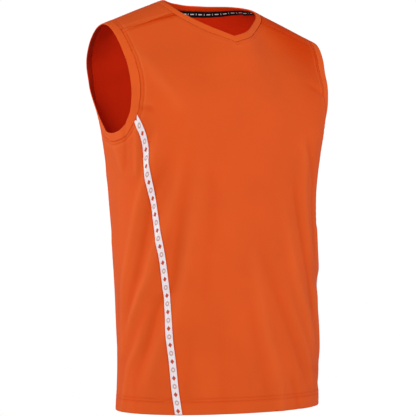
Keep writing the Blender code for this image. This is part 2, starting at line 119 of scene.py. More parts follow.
# Side seam of the left side, from the armhole to the hem. (phi, q); its top is the armhole seam.
SIDE_SEAM = (
    (61.5, 252), (60.4, 268), (60.1, 284), (60.6, 298), (61.8, 316), (62.2, 340), (61.8, 358),
    (61, 378), (60.5, 408), (60, 440), (59.2, 482), (59.1, 518), (59, 560), (59.3, 598),
    (58.5, 638), (57.7, 677), (55.8, 716.6), (55.4, 724.5),
)
SHOULDER_SEAM_Q = (59.5, 49.0)  # the shoulder seam's q at the neck and at the armhole
NECK_TAPE_END_Q = 3.0  # the neck tape runs between the two high shoulder points

# The large folds: the line of each crest or trough from its top to its bottom as (angle from the
# front middle, q), its half width, its height, and the share of its length over which it rises
# from its top. They are drawn finer than in the solids. Their heights also set the painted
# highlight along the crests and the painted shade along the troughs.
FOLDS = (
    (
        ((-48, 250), (-54, 292), (-60, 325), (-69, 370), (-77, 420), (-85, 475), (-92, 515), (-97, 590)),
        10, 3.4, 0.2,
    ),
    (
        ((-37, 250), (-45, 304), (-54, 342), (-60, 380), (-65, 420), (-75, 495), (-81, 526), (-91, 590)),
        10, -3.4, 0.45,
    ),
    (
        ((-30, 250), (-37, 304), (-42, 343), (-53, 420), (-61, 460), (-67, 500), (-76, 540), (-94, 625)),
        9, 4.6, 0.6,
    ),
    (
        ((-27, 250), (-33, 317), (-42, 410), (-45, 460), (-49, 515), (-59, 545), (-67, 604), (-82, 700)),
        9, -2.9, 0.5,
    ),
    (((-23, 270), (-28, 335), (-37, 434), (-46, 526), (-50, 565), (-60, 616), (-72, 710)), 12, 2.7, 0.45),
    (((-21, 290), (-22, 370), (-29, 487), (-32, 560)), 9, -1.1, 0.2),
    (((-62, 525), (-72, 564), (-86, 619), (-96, 665)), 8, -1.1, 0.3),
    (((-68, 555), (-78, 618), (-86, 650), (-94, 740)), 8, 3.0, 0.4),
    (((-73, 615), (-79, 668), (-74, 735)), 8, -0.9, 0.3),
    (((-38, 575), (-42, 641), (-43, 720)), 9, -1.0, 0.3),
    (((-94, 555), (-95, 640)), 9, 2.8, 0.2),
    (((-102, 240), (-91, 288), (-83, 340)), 8, 2.8, 0.2),
    (((-74, 240), (-79, 295), (-83, 335)), 7, -2.2, 0.1),
    (((-63, 240), (-67, 290), (-71, 345)), 8, 3.3, 0.2),
    (((27, 245), (33, 309), (37, 390), (42, 490)), 9, 2.2, 0.2),
    (((30, 245), (38, 294), (46, 345), (48, 430), (53, 500)), 8, -2.2, 0.2),
    (((25, 315), (31, 420), (39, 515), (48, 600)), 8, -2.7, 0.2),
    (((13, 320), (20, 425), (26, 505), (37, 575), (48, 665)), 12, 2.6, 0.5),
    (((-1, 420), (8, 507), (21, 600), (40, 705)), 9, -2.1, 0.4),
    (((12, 480), (25, 575), (37, 638), (46, 710)), 8, 1.9, 0.5),
    (((-4, 390), (-2, 490), (4, 600), (12, 685), (15, 780)), 11, 2.3, 0.4),
    (((-6, 535), (-3, 600), (0, 645), (6, 720)), 9, -1.4, 0.2),
    (((-24, 530), (-22, 620), (-21, 760)), 10, -0.9, 0.3),
    (((19, 660), (25, 705), (31, 780)), 7, -1.9, 0.2),
    (((63, 205), (61, 262), (61, 300), (63, 340), (64, 400), (65, 480)), 8, -1.9, 0.2),
    (((53, 400), (56, 436), (60, 474), (64, 506)), 14, 2.6, 0.2),
    (((48, 484), (60, 512), (70, 540)), 9, -1.9, 0.2),
    (((44, 500), (52, 560), (59, 612), (65, 655)), 15, 2.5, 0.2),
    (((40, 650), (58, 678), (72, 702)), 10, -1.5, 0.2),
    (((78, 290), (84, 380), (91, 470), (97, 580)), 12, 3.4, 0.2),
    (((101, 270), (94, 350), (84, 440)), 10, 3.0, 0.2),
    (((70, 330), (76, 420), (84, 520)), 9, -2.4, 0.2),
    (((74, 560), (80, 620), (87, 740)), 12, 2.6, 0.2),
    (((-150, 240), (-143, 340), (-134, 440)), 13, 3.4, 0.2),
    (((-137, 300), (-129, 380), (-121, 500)), 10, -3.0, 0.2),
    (((-116, 300), (-113, 380), (-112, 470)), 12, 2.2, 0.2),
    (((150, 260), (146, 360), (137, 480)), 13, 3.6, 0.2),
    (((160, 300), (156, 400), (150, 520)), 10, -2.6, 0.2),
    (((176, 410), (172, 520), (163, 680)), 15, 3.0, 0.2),
    (((-172, 470), (-165, 580), (-160, 760)), 12, -2.4, 0.2),
    (((126, 490), (120, 590), (115, 740)), 12, 3.2, 0.2),
    (((110, 430), (104, 540), (101, 660)), 10, -2.6, 0.2),
    (((-112, 420), (-119, 520), (-128, 680)), 12, 3.4, 0.2),
)
FOLD_FADE = 0.2  # share of its length over which a fold dies out at its bottom

# Smaller creases, in straight runs: (angle and q of each end, half width, height). Their heights also add
# painted highlight and painted shade to the knit.
CREASES = (
    (-61, 221, -45, 223, 5.0, -2.6),
    (-60, 211, -44, 214, 7.0, 1.2),
    (-37, 72, -36, 195, 12.0, 2.3),
    (-37, 150, -30, 242, 13.0, 1.9),
    (-48, 250, -61, 332, 5.0, 2.1),
    (29, 154, 52, 171, 4.5, -1.8),
    (28, 145, 54, 160, 9.0, 0.8),
    (-12, 330, -14, 470, 14.0, 0.6),
    (78, 262, 70, 312, 7.0, -1.2),
    (98, 262, 92, 325, 8.0, 1.3),
    (76, 420, 90, 520, 9.0, -1.2),
    (104, 640, 96, 718, 9.0, 1.2),
    (128, 150, 148, 176, 9.0, 1.0),
    (-130, 152, -150, 182, 9.0, 1.1),
    (140, 560, 134, 660, 10.0, -1.2),
    (168, 250, 160, 330, 14.0, 0.9),
    (-166, 300, -158, 380, 12.0, -0.9),
    (-142, 600, -148, 700, 10.0, 1.2),
    (-100, 520, -108, 600, 9.0, -1.1),
)

# Broad patches of painted shade (-) and painted light (+) on the knit, where the light falls less
# and more: (angle, q, half width across, half width down, tone in full folds).
PAINTED_PATCHES = (
    (29, 62, 44, 52, -1.9),
    (17, 44, 26, 24, -0.9),
    (37, 150, 34, 70, -0.6),
    (-96, 350, 60, 170, 0.4),
    (-160, 75, 50, 40, -0.5),
    (155, 85, 46, 40, -0.8),
)

CREASE_FADE = 0.35  # share of its length over which a crease comes and goes
RIPPLE = 0.28  # height of the cloth's faint unevenness
RIPPLE_START = 80.0  # which sets in over this way down

PER_DEGREE = 3.2  # millimetres of cloth per degree, for measuring on the chart
SMALL = 0.05  # step for slopes, in degrees and in millimetres
FINE = np.linspace(0, 1, 1201)
UNDER_ARM = 0.15  # the side seam starts within this share of the armhole line from either end
PAIRS_AT_ONCE = 4_000_000  # distances that are measured in one go
PAST_MOST = 1.5  # a place on a line lies no farther than this past its nearest point


def linear(code):
    """An sRGB hex colour as the linear red, green and blue that shaders take."""
    share = np.array([int(code[i : i + 2], 16) for i in (0, 2, 4)]) / 255
    return tuple(np.where(share <= 0.04045, share / 12.92, ((share + 0.055) / 1.055) ** 2.4))


# ---------------------------------------------------------------------------------------------
# Settings a user would change
# ---------------------------------------------------------------------------------------------


def length(name, description, default, **limits):
    """A setting in metres. Those below are a share, a power in watts and a colour from its code."""
    return bpy.props.FloatProperty(
        name=name, description=description, default=default, unit="LENGTH", **limits
    )


def factor(name, description, default):
    return bpy.props.FloatProperty(name=name, description=description, default=default, subtype="FACTOR")


def power(name, description, default):
    return bpy.props.FloatProperty(name=name, description=description, default=default, unit="POWER")


class TankTopKnit(bpy.types.PropertyGroup):
    """The panels: how finely they are made and how they are creased."""

    net: length("Net", "Spacing of the points inside a panel", 5.0 * MM, min=2.0 * MM)
    wall: length("Wall", "Thickness of one layer of knit", 1.0 * MM)
    hem_wall: length("Hem wall", "Thickness where the hem is turned up", 1.9 * MM)
    folds: factor("Folds", "Strength of the large folds", 1.0)
    creases: factor("Creases", "Strength of the smaller creases", 1.0)
    pucker: length("Pucker", "Height of the gathers that stitching pulls beside a seam", 0.22 * MM)
    eyelet_pitch: length("Eyelet pitch", "Spacing of the holes in the eyelet knit", 3.4 * MM)


class TankTopTrim(bpy.types.PropertyGroup):
    """Tapes and stitching."""

    tape_wall: length("Tape thickness", "Thickness of the woven tapes", 0.6 * MM)
    motif_repeat: length("Motif repeat", "Length of one repeat along the side tapes", 27.0 * MM)
    stitch_pitch: length("Stitch pitch", "From one stitch to the next", 2.9 * MM)
    stitch_length: length("Stitch length", "Length of one stitch on the surface", 2.3 * MM)
    thread: length("Thread", "Diameter of the sewing thread", 0.42 * MM)


def colour_property(name, description, code):
    return bpy.props.FloatVectorProperty(
        name=name, description=description, default=linear(code), size=3, min=0, max=1, subtype="COLOR",
    )


class TankTopColours(bpy.types.PropertyGroup):
    """Colours of the cloth and its trims."""

    face: colour_property("Knit face", "Outside of the panels", "C44C1B")
    # crest and hollow are painted highlight along the crests of the folds and painted shade in their
    # hollows, not colours of the knit
    crest: colour_property("Crests", "Outside of the panels along the crest of a fold", "C95624")
    hollow: colour_property("Hollows", "Outside of the panels in the hollow beside one", "BF4413")
    eyelet: colour_property("Eyelets", "Inside the holes of the knit", "A23409")
    reverse: colour_property("Knit reverse", "Inside of the panels", "DC2E0A")
    binding: colour_property("Binding", "Folded bindings", "C64E1A")
    turned: colour_property("Neck binding reverse", "Inside of the neck binding", "DC4007")
    # the inside of the armhole bindings is darker than the neck binding's: painted shade for the shade
    # inside the armholes
    shaded: colour_property("Arm binding reverse", "Inside of the armhole bindings", "B02206")
    thread: colour_property("Thread", "Sewing thread of the cloth", "C64C18")
    tape: colour_property("Side tape", "Ground of the side tapes", "D8CED1")
    rust: colour_property("Lozenge", "Lozenges on the side tapes", "A8402A")
    ring: colour_property("Ring", "Rings on the side tapes", "B3908C")
    dot: colour_property("Dot", "Dots on the side tapes", "CFC4CC")
    neck_tape: colour_property("Neck tape", "Ground of the neck tape", "0B0B0C")
    dash: colour_property("Dash", "Dashes on the neck tape", "E9E9E9")
    floor: colour_property("Floor", "Floor of the stage", "FFFFFF")


class TankTopStage(bpy.types.PropertyGroup):
    """Floor, lights and camera."""

    drop: length("Floor drop", "Floor below the shoulders, as under a standing wearer", 1.43)
    distance: length("Camera distance", "Camera from the upright middle of the top", 2.70)
    azimuth: bpy.props.FloatProperty(
        name="Camera azimuth", description="Camera round the top, 0 in front of it",
        default=np.radians(-33.0), subtype="ANGLE",
    )
    height: length("Camera height", "Camera above the shoulders", -0.435)
    middle: length("Camera aim", "y of the upright line that the camera aims at", -0.019)
    surround: factor("Surround", "Brightness of the white surround at the level of the top", 1.02)
    overhead: factor("Overhead", "Brightness of the surround high above the top", 0.32)
    floor_near: factor("Floor under the top", "Brightness of the lit floor under the top", 0.52)
    key: power("Key light", "Power of the soft light at the left in front", 104.0)
    rim: power("Rim light", "Power of the soft light at the left behind", 84.0)
    fill: power("Fill light", "Power of the soft light at the right in front", 79.0)


SETTINGS = {
    "tank_top_knit": TankTopKnit,
    "tank_top_trim": TankTopTrim,
    "tank_top_colours": TankTopColours,
    "tank_top_stage": TankTopStage,
}


def settings(name):
    return getattr(bpy.context.scene, "tank_top_" + name)


# ---------------------------------------------------------------------------------------------
# The worn form
# ---------------------------------------------------------------------------------------------


def blend(x, knots, values):
    """Smooth curve through a table, with no overshoot; straight beyond its ends.

    Each stretch is a cubic whose end slopes are the weighted harmonic means of its neighbours'.
    """
    knots, values = np.asarray(knots, float), np.asarray(values, float)
    step = np.diff(knots)
    rise = np.diff(values) / step
    slope = np.concatenate([rise[:1], np.zeros(len(rise) - 1), rise[-1:]])
    before, after = 2 * step[1:] + step[:-1], step[1:] + 2 * step[:-1]
    rise = np.where(rise == 0, 1e-12, rise)
    same = rise[:-1] * rise[1:] > 0
    mean = (before + after) / np.where(same, before / rise[:-1] + after / rise[1:], 1.0)
    slope[1:-1] = np.where(same, mean, 0.0)
    at = np.clip(np.searchsorted(knots, x) - 1, 0, len(step) - 1)
    t = (np.clip(x, knots[0], knots[-1]) - knots[at]) / step[at]
    inside = (
        (1 + 2 * t) * (1 - t) ** 2 * values[at]
        + t * (1 - t) ** 2 * step[at] * slope[at]
        + t * t * (3 - 2 * t) * values[at + 1]
        + t * t * (t - 1) * step[at] * slope[at + 1]
    )
    return inside + slope[0] * np.minimum(x - knots[0], 0) + slope[-1] * np.maximum(x - knots[-1], 0)


def ease(t):
    """0 to 1 with level ends: three squares less two cubes."""
    t = np.clip(t, 0, 1)
    return t * t * (3 - 2 * t)


def bell(distance, at, half_width):
    """1 at a distance, falling off on both sides as the bell curve does."""
    return np.exp(-(((distance - at) / half_width) ** 2))


def depth(q):
    """Depth below the shoulder line for the way q along the cloth, which starts out level: a square
    until the cloth has rounded over, and then straight."""
    v = np.abs(q)
    return np.where(v < ROUND_OVER, v * v / (2 * ROUND_OVER), v - ROUND_OVER / 2)


def twist(q):
    """Degrees by which the cloth has slid round the body, to the wearer's left on the front: nothing
    at the armholes, then growing evenly to the hem after a soft start."""
    down = np.maximum((np.abs(q) - TWIST_TOP) / (HEM_Q - TWIST_TOP), 0)
    return np.where(q < 0, -1, 1) * TWIST * down**2 / (down + TWIST_START) * (1 + TWIST_START)


def trunk(phi, q):
    """The worn shape without its folds: chart points to millimetres.

    Every level is a rounded oval, wider at its corners by its squareness. Going up, the front and
    the back close in on the sloping shoulder line as the root of one less a falling exponential.
    """
    turn, d = np.radians(phi + twist(q)), depth(q)
    level = np.clip(d, 0, LEVEL[-1])
    half_width, front, back, middle, square = (
        blend(level, LEVEL, column) for column in (WIDTH, FRONT, BACK, MIDDLE, SQUARE)
    )
    sine, cosine = np.sin(turn), np.cos(turn)
    x = half_width * sine * (1 + square * cosine**2)
    facing = q * cosine >= 0
    near_neck = (1 - ease((np.abs(x) - NECK_ACROSS[0]) / NECK_ACROSS[1])) * (
        1 - ease((d - NECK_DOWN[0]) / NECK_DOWN[1])
    )
    rounding = np.where(facing, FRONT_ROUND[0] - FRONT_ROUND[1] * near_neck, BACK_ROUND)
    reach = np.where(facing, -front, back) * np.sqrt(1 - np.exp(-d / rounding))
    out = np.sqrt(x * x + SLOPE_ROUND**2) - np.hypot(HIGH_POINT, SLOPE_ROUND)
    fade = 1 - ease(d / SHOULDER_FADE)
    y = middle + reach * np.abs(cosine) * (1 + square * sine**2) + fade * (RIDGE_BACK - RIDGE_SWING * out)
    return np.stack([x, y, -SLOPE * out * fade - d], axis=-1)


def directions(chart):
    """Steps of the trunk per degree of phi and per millimetre of q, and its outward normal."""
    phi, q = chart[..., 0], chart[..., 1]
    along = (trunk(phi + SMALL, q) - trunk(phi - SMALL, q)) / (2 * SMALL)
    up = (trunk(phi, q + SMALL) - trunk(phi, q - SMALL)) / (2 * SMALL)
    normal = np.cross(up, along)
    return along, up, normal / np.linalg.norm(normal, axis=-1, keepdims=True)


def round_trip(chart):
    """Angle of chart points from the front middle of the body, and their way down."""
    phi, q = chart[..., 0], chart[..., 1]
    turn = phi + twist(q)
    return np.where(q < 0, 180.0 - turn, turn), np.abs(q)


def way_round(turn, angle):
    """Millimetres of cloth from an angle to each turn, the short way round the body."""
    return ((turn - angle + 180) % 360 - 180) * PER_DEGREE


def folds(chart):
    """Height of the large folds: a bell across each crest line, eased in and out at its ends."""
    turn, down = round_trip(chart)
    height = np.zeros(turn.shape)
    for crest, half_width, tall, rise in FOLDS:
        angle, level = np.array(crest, float).T
        lean = (blend(down + 1, level, angle) - blend(down - 1, level, angle)) / 2 * PER_DEGREE
        aside = way_round(turn, blend(down, level, angle)) / np.sqrt(1 + lean * lean)
        reach = level[-1] - level[0]
        ends = ease((down - level[0]) / rise / reach) * ease((level[-1] - down) / FOLD_FADE / reach)
        height += tall * ends * bell(aside, 0.0, half_width)
    return settings("knit").folds * height


def creases(chart):
    """Height of the smaller creases: a bell across each straight run, eased in and out."""
    turn, down = round_trip(chart)
    height = np.zeros(turn.shape)
    for turn_0, q_0, turn_1, q_1, half_width, tall in CREASES:
        run = np.array([(turn_1 - turn_0) * PER_DEGREE, q_1 - q_0])
        length = np.linalg.norm(run)
        off = way_round(turn, turn_0)
        reach = (off * run[0] + (down - q_0) * run[1]) / length
        aside = (off * run[1] - (down - q_0) * run[0]) / length
        ends = ease(reach / length / CREASE_FADE) * ease((1 - reach / length) / CREASE_FADE)
        height += tall * ends * bell(aside, 0.0, half_width)
    return height


def ripples(chart):
    """Height of the cloth's faint unevenness: slow waves that cross at odd angles, a whole number
    of them round the body, and none at the top of the shoulders."""
    turn, down = round_trip(chart)
    x = np.radians(turn)
    wave = np.sin(10 * x + down / 61) * np.sin(down / 83 + 1.3) + np.sin(6 * x - down / 47 + 2.1)
    wave += 0.6 * np.sin(15 * x + 0.9 * np.sin(down / 70)) * np.sin(down / 55 + 2 * x)
    return RIPPLE * wave * ease(down / RIPPLE_START)




def relief(chart):
    """Height of the cloth above the trunk, seams left out."""
    return folds(chart) + settings("knit").creases * creases(chart) + ripples(chart)


def placed(chart, lift=0.0):
    """Chart points to millimetres on the cloth, moved out from it by lift."""
    normal = directions(chart)[2]
    return trunk(chart[..., 0], chart[..., 1]) + normal * (relief(chart) + lift)[..., None]


def beside(line, width):
    """The chart line moved sideways on the cloth by width millimetres, away from the opening."""
    along, up, normal = directions(line)
    steps = np.gradient(line, axis=0)
    tangent = steps[:, :1] * along + steps[:, 1:] * up
    tangent /= np.linalg.norm(tangent, axis=1, keepdims=True)
    aim = np.cross(tangent, normal) * width
    grid = np.stack([along, up], axis=-1)
    square = np.einsum("nki,nkj->nij", grid, grid)
    return line + np.linalg.solve(square, np.einsum("nki,nk->ni", grid, aim)[..., None])[..., 0]


def running_sum(steps):
    """The sums of the steps so far, from 0."""
    return np.concatenate([[0], np.cumsum(steps)])


def way_along(points):
    """The way along a line of points to each of them."""
    return running_sum(np.linalg.norm(np.diff(points, axis=0), axis=1))


def path(table, lead=0):
    """Function from 0..1 to chart points on the smooth line through a table, without its lead
    points at either end, which only steer it."""
    points = np.array(table, float)
    knots = way_along(points * (PER_DEGREE, 1))
    first, last = knots[lead], knots[-1 - lead]
    return lambda t: np.stack(
        [blend(first + t * (last - first), knots, column) for column in points.T], axis=-1
    )


def same_side(line):
    return line


def mirrored(line):
    return line * (-1, 1)


SIDES = {"left": same_side, "right": mirrored}


def both_halves(half):
    """A line of the left half that ends on the middle line, and then its mirror image back."""
    return np.concatenate([half, mirrored(half)[::-1][1:]])


def round_the_side(line):
    """The same places of the left side, written in the back panel's part of the chart."""
    return np.array([180.0, 0.0]) - line


def read_off(line, share=None):
    """Function from shares to places on a line of many points. The points lie at the shares given,
    or evenly."""
    share = np.linspace(0, 1, len(line)) if share is None else share
    return lambda t: np.stack([np.interp(t, share, column) for column in line.T], axis=-1)


def armhole_line(width):
    """Function from 0..1 to the line at this distance from the armhole's finished edge, which runs
    smoothly through its join under the arm."""
    table = np.array(ARMHOLE, float)
    loop = np.concatenate([round_the_side(table[-3:-1]), table, round_the_side(table[1:3])])
    t = np.linspace(-0.01, 1.01, 1400)
    return read_off(beside(path(loop, 2)(t), width), t)


def neck_line(width):
    """The same for the left half of the neck, cut at the middle of the front and of the back."""
    line = beside(path(NECK)(np.linspace(-0.12, 1, 1400)), width)
    inside = np.flatnonzero(line[:, 0] >= 0)
    line = line[inside[0] : inside[-1] + 1]
    line[[0, -1], 0] = 0
    return read_off(line)


def where_q(line, q, first, last):
    """Share of a line, between two shares, at which it passes this q."""
    t = np.linspace(first, last, 2000)
    return float(t[np.abs(line(t)[:, 1] - q).argmin()])


AT_NECK = where_q(neck_line(NECK_BAND), SHOULDER_SEAM_Q[0], 0.0, 0.6)
AT_ARM = where_q(armhole_line(ARMHOLE_BAND), SHOULDER_SEAM_Q[1], 0.5, 0.9)
AT_HIGH_POINT = where_q(neck_line(NECK_BAND), NECK_TAPE_END_Q, 0.3, 0.95)


def side_line(offset):
    """Function from 0..1 to the side seam moved towards the front by offset, cut off above at the
    armhole seam and below at the hem."""
    top = armhole_line(ARMHOLE_BAND)(1.0)
    above = 2 * top - SIDE_SEAM[0]
    line = beside(path((above, top, *SIDE_SEAM))(np.linspace(0, 1.02, 2400)), offset)
    limit = armhole_line(ARMHOLE_BAND + SHUT)(FINE)
    edge = np.concatenate(
        [round_the_side(limit[FINE < UNDER_ARM])[::-1], limit[FINE > 1 - UNDER_ARM][::-1]]
    )
    edge = edge[np.argsort(edge[:, 0])]
    outside = np.flatnonzero(line[:, 1] > np.interp(line[:, 0], edge[:, 0], edge[:, 1]))
    below = np.flatnonzero(line[:, 1] >= HEM_Q)
    line = line[outside[0] : below[0] + 1]
    line[-1, 1] = HEM_Q
    return read_off(line)


def shoulder_line(offset):
    """Function from 0..1 to the shoulder seam moved towards the front by offset, neck to armhole."""
    at_neck, at_arm = neck_line(NECK_BAND)(AT_NECK), armhole_line(ARMHOLE_BAND)(AT_ARM)
    return read_off(beside(at_neck * (1 - FINE[:, None]) + at_arm * FINE[:, None], offset))


def hem_line(side, offset, sign):
    """Function from 0..1 to the hem line raised by offset, from the left side seam to the middle."""
    start = side(1.0)[0]
    line = np.stack([start * (1 - FINE), np.full(len(FINE), sign * (HEM_Q - offset))], axis=-1)
    return read_off(line)


def shares(line, first, last, step):
    """Shares of a chart line from first to last, evenly spaced by about step millimetres."""
    t = np.linspace(first, last, 400)
    way = way_along(placed(line(t)))
    return np.interp(np.linspace(0, way[-1], max(3, round(way[-1] / step) + 1)), way, t)


def nearest(points, line):
    """Each point's distance from a line of points, and the way along the line to that place.

    The nearest of the line's points is found for each, and the distance is measured square to the
    line there. A few million pairs are measured at a time.
    """
    step = np.gradient(line, axis=0)
    step /= np.linalg.norm(step, axis=1, keepdims=True)
    squares = (line**2).sum(axis=1)
    blocks = np.array_split(points, len(points) * len(line) // PAIRS_AT_ONCE + 1)
    at = np.concatenate([(squares - 2 * block @ line.T).argmin(axis=1) for block in blocks])
    away = points - line[at]
    past = (away * step[at]).sum(axis=1)
    inside = (at > 0) & (at < len(line) - 1)
    across = np.where(inside, np.minimum(np.abs(past), PAST_MOST), 0.0)
    distance = np.sqrt(np.maximum((away**2).sum(axis=1) - across**2, 0))
    return distance, way_along(line)[at] + past


# ---------------------------------------------------------------------------------------------
# Meshes
# ---------------------------------------------------------------------------------------------


def stand(name, data):
    """A new object in the scene."""
    made = bpy.data.objects.new(name, data)
    bpy.context.scene.collection.objects.link(made)
    return made


def new_piece(name, points, faces, uvs, materials, slots=None):
    """A mesh object from whole arrays: points in millimetres, faces of three or four corners,
    a UV in metres for every corner, and each face's material."""
    a, b, c = (points[faces[:, i]] for i in range(3))
    volume = np.einsum("ij,ij->", a, np.cross(b, c))
    if faces.shape[1] == 4:
        volume += np.einsum("ij,ij->", a, np.cross(c, points[faces[:, 3]]))
    if volume < 0:
        faces, uvs = faces[:, ::-1], uvs[:, ::-1]
    count, corners = faces.shape
    mesh = bpy.data.meshes.new(name)
    mesh.vertices.add(len(points))
    mesh.vertices.foreach_set("co", (points * MM).astype(np.float32).ravel())
    mesh.loops.add(count * corners)
    mesh.loops.foreach_set("vertex_index", faces.astype(np.int32).ravel())
    mesh.polygons.add(count)
    mesh.polygons.foreach_set("loop_start", np.arange(0, count * corners, corners, dtype=np.int32))
    mesh.polygons.foreach_set("use_smooth", np.ones(count, bool))
    for material in materials:
        mesh.materials.append(material)
    if slots is not None:
        mesh.polygons.foreach_set("material_index", slots.astype(np.int32))
    layer = mesh.uv_layers.new(name="Cloth")
    layer.uv.foreach_set("vector", uvs.astype(np.float32).ravel())
    mesh.update(calc_edges=True)
    mesh.validate()
    piece = stand(name, mesh)
    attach(piece, "root")
    return piece


def open_edge_points(faces):
    """Which points lie on an edge that only one face has."""
    ends = np.stack([faces, np.roll(faces, -1, axis=1)], axis=-1).reshape(-1, 2)
    pairs, count = np.unique(np.sort(ends, axis=1), axis=0, return_counts=True)
    return np.unique(pairs[count == 1])


def shell(name, outer, inner, faces, uv, materials, fold=None):
    """A closed piece of cloth: an outer and an inner face that share the points of their edge.

    The edge lies midway between the two, so a wall that thins towards it has a round edge. The last
    argument is a number for each point, the painted shade (-) or painted highlight (+) in full folds,
    which goes with the mesh as an attribute for the material to read.
    """
    edge = open_edge_points(faces)
    outer = outer.copy()
    outer[edge] = (outer[edge] + inner[edge]) / 2
    number = np.arange(len(inner)) + len(outer)
    number[edge] = edge
    kept = np.ones(len(inner), bool)
    kept[edge] = False
    renumber = np.full(len(outer) + len(inner), -1)
    renumber[: len(outer)] = np.arange(len(outer))
    renumber[len(outer) :][kept] = len(outer) + np.arange(kept.sum())
    points = np.concatenate([outer, inner[kept]])
    inside = renumber[number[faces[:, ::-1]]]
    uvs = np.concatenate([uv[faces], uv[faces[:, ::-1]]])
    slots = np.repeat([0, 1], len(faces))
    piece = new_piece(name, points, np.concatenate([faces, inside]), uvs, materials, slots)
    if fold is not None:
        layer = piece.data.attributes.new("fold", "FLOAT", "POINT")
        layer.data.foreach_set("value", np.concatenate([fold, fold[kept]]).astype(np.float32))
    return piece


def rounded(distance, radius):
    """How full a wall is at this distance from its edge: a quarter circle, then 1."""
    return np.sqrt(1 - (1 - np.clip(distance / radius, 0, 1)) ** 2)


def fold_round(name, rows, lifts, across, materials, slots):
    """A binding: a closed section carried round a closed line. Row i holds the chart points of
    section point i, which is lifted by lifts[i]; across is the way round the section."""
    grid = np.stack([placed(row, lift) for row, lift in zip(rows, lifts)])
    count, length = grid.shape[:2]
    middle = grid[count // 4]
    along = way_along(np.concatenate([middle, middle[:1]]))
    i, j = np.meshgrid(np.arange(count), np.arange(length), indexing="ij")
    i, j = i.ravel(), j.ravel()
    corners = ((i, j), (i, j + 1), (i + 1, j + 1), (i + 1, j))
    faces = np.stack([(a % count) * length + b % length for a, b in corners], axis=1)
    ways = np.append(across, across[-1] + np.linalg.norm(grid[0, 0] - grid[-1, 0]))
    uvs = np.stack([np.stack([along[b], ways[a]], axis=-1) for a, b in corners], axis=1) * MM
    return new_piece(name, grid.reshape(-1, 3), faces, uvs, materials, slots[i])


# ---------------------------------------------------------------------------------------------
# Panels
# ---------------------------------------------------------------------------------------------

EDGE_ROWS = (0.3, 0.8, 1.5, 2.6, 4.0, 5.0, 5.6, 6.2, 7.4, 9.4)  # points beside a seam
TAPED_ROWS = (2.5, 4.6, 5.7, 6.3, 6.9, 7.6, 8.8, 11.0)  # and beside a seam under a tape
HEM_ROWS = (0.2, 0.6, 1.2, 3.0, 7.0, 12.0, 17.0, 20.2, 21.0, 21.8, 23.8, 25.6, 26.4, 27.2, 29.0, 32.5)
PANEL_ROWS = (EDGE_ROWS, EDGE_ROWS, EDGE_ROWS, TAPED_ROWS, HEM_ROWS)
EDGE_STEP = 3.0  # spacing of the points along an edge
OWN_ROW = 0.94  # a point of a row stays if no edge is nearer to it than this share of its offset
FROM_MIDDLE = 0.35  # and if it is this many degrees from the middle line
NET_ROW = 0.866  # a hexagonal net's rows are this share of its spacing apart
NET_CLEAR = 0.5  # the net keeps this share of its spacing off the last row beside a seam
HEM_CLEAR = 0.4  # and this share off the last row above the hem
STITCHED = 5.6  # a seam's second row of stitches lies this far from it on the panel
HEM_STITCHES = (21.0, 26.4)  # rows of stitches above the hem edge
SHOULDER_STITCHES = 1.8  # stitches this far behind the shoulder seam

DITCH = 0.62  # a panel's edge sinks this far at a seam
EDGE_ROUND = 1.1  # its wall thins over this towards a seam
HEM_ROUND = 0.9  # and over this towards the hem edge
HEM_STEP = (0.6, 1.2)  # the turned hem's layer ends this far above its height, over this way
# A layer of cloth under the panel: (height, where it starts, over what way, where it ends, over what
# way), by the distance from the seam or the hem edge.
ALLOWANCE = (0.32, 0.4, 1.6, STITCHED + 0.8, 4.5)
HEM_LAYER = (0.30, 0.0, 4.0, HEM_TURN, 3.0)
GROOVE = 0.5  # depth of the groove that a row of stitches makes
GROOVE_WIDTH = 0.9  # and its half width
# Beside a tape's edge: (height, distance from the edge, half width).
TAPE_ROLL = (0.30, 3.4, 1.9)
TAPE_DENT = (-0.45, 0.5, 0.9)
# Spacing of the gathers along a seam, and how far they reach from it.
SEAM_GATHERS = (8.5, 10.0)
TAPE_GATHERS = (10.0, 9.0)
TAPE_CLEAR = 1.5  # beside a tape they set in over this way from its edge
HEM_GATHERS = (11.0, 11.0)

FULL_FOLD = 4.6  # a crest of this height, or a hollow of this depth, gets the full painted highlight or painted shade
PAINTED_TONE_SPAN = (-3.2, 1.5)  # deepest painted shade and lightest painted highlight on the knit, in full folds
# Painted shade (-) and painted highlight (+) beside the seams, in full folds: (tone, distance from the seam,
# half width).
# painted shade along a tape's edge, painted shade below the shoulder seam and painted highlight behind it,
# and at a binding painted highlight beyond its stitches and painted shade in them and in the ditch
TAPE_EDGE_PAINTED_SHADE = (-0.9, SIDE_TAPE / 2 + 1.0, 1.6)
BELOW_SHOULDER_PAINTED_SHADE = (-1.9, 1.5, 4.0)
BEHIND_SHOULDER_PAINTED_HIGHLIGHT = (0.7, 5.0, 2.5)
STITCHED_PAINTED_TONES = ((1.0, STITCHED + 2.6, 1.8), (-1.2, STITCHED, 1.0), (-1.1, 0.0, 1.4))
FAR_SHOULDER = 0.25  # share of this painted shading on the far shoulder
AT_BINDING = {"neck": 0.25, "arm": 0.9}  # and at the bindings


def raised(distance, height, at, half_width):
    """A bell of this height about a distance."""
    return height * bell(distance, at, half_width)


def layer(distance, height, start, start_way, end, end_way):
    """This height between two distances, eased in and out."""
    return height * ease((distance - start) / start_way) * (1 - ease((distance - end) / end_way))


def gathers(along, distance, spacing_and_reach):
    """Uneven little gathers square to a seam, dying out away from it."""
    spacing, reach = spacing_and_reach
    phase = along / spacing * 2 * np.pi
    wave = np.sin(phase + 1.7 * np.sin(along / 41)) * (0.6 + 0.4 * np.sin(along / 23 + 1))
    return settings("knit").pucker / MM * wave * bell(distance, 0.0, reach)


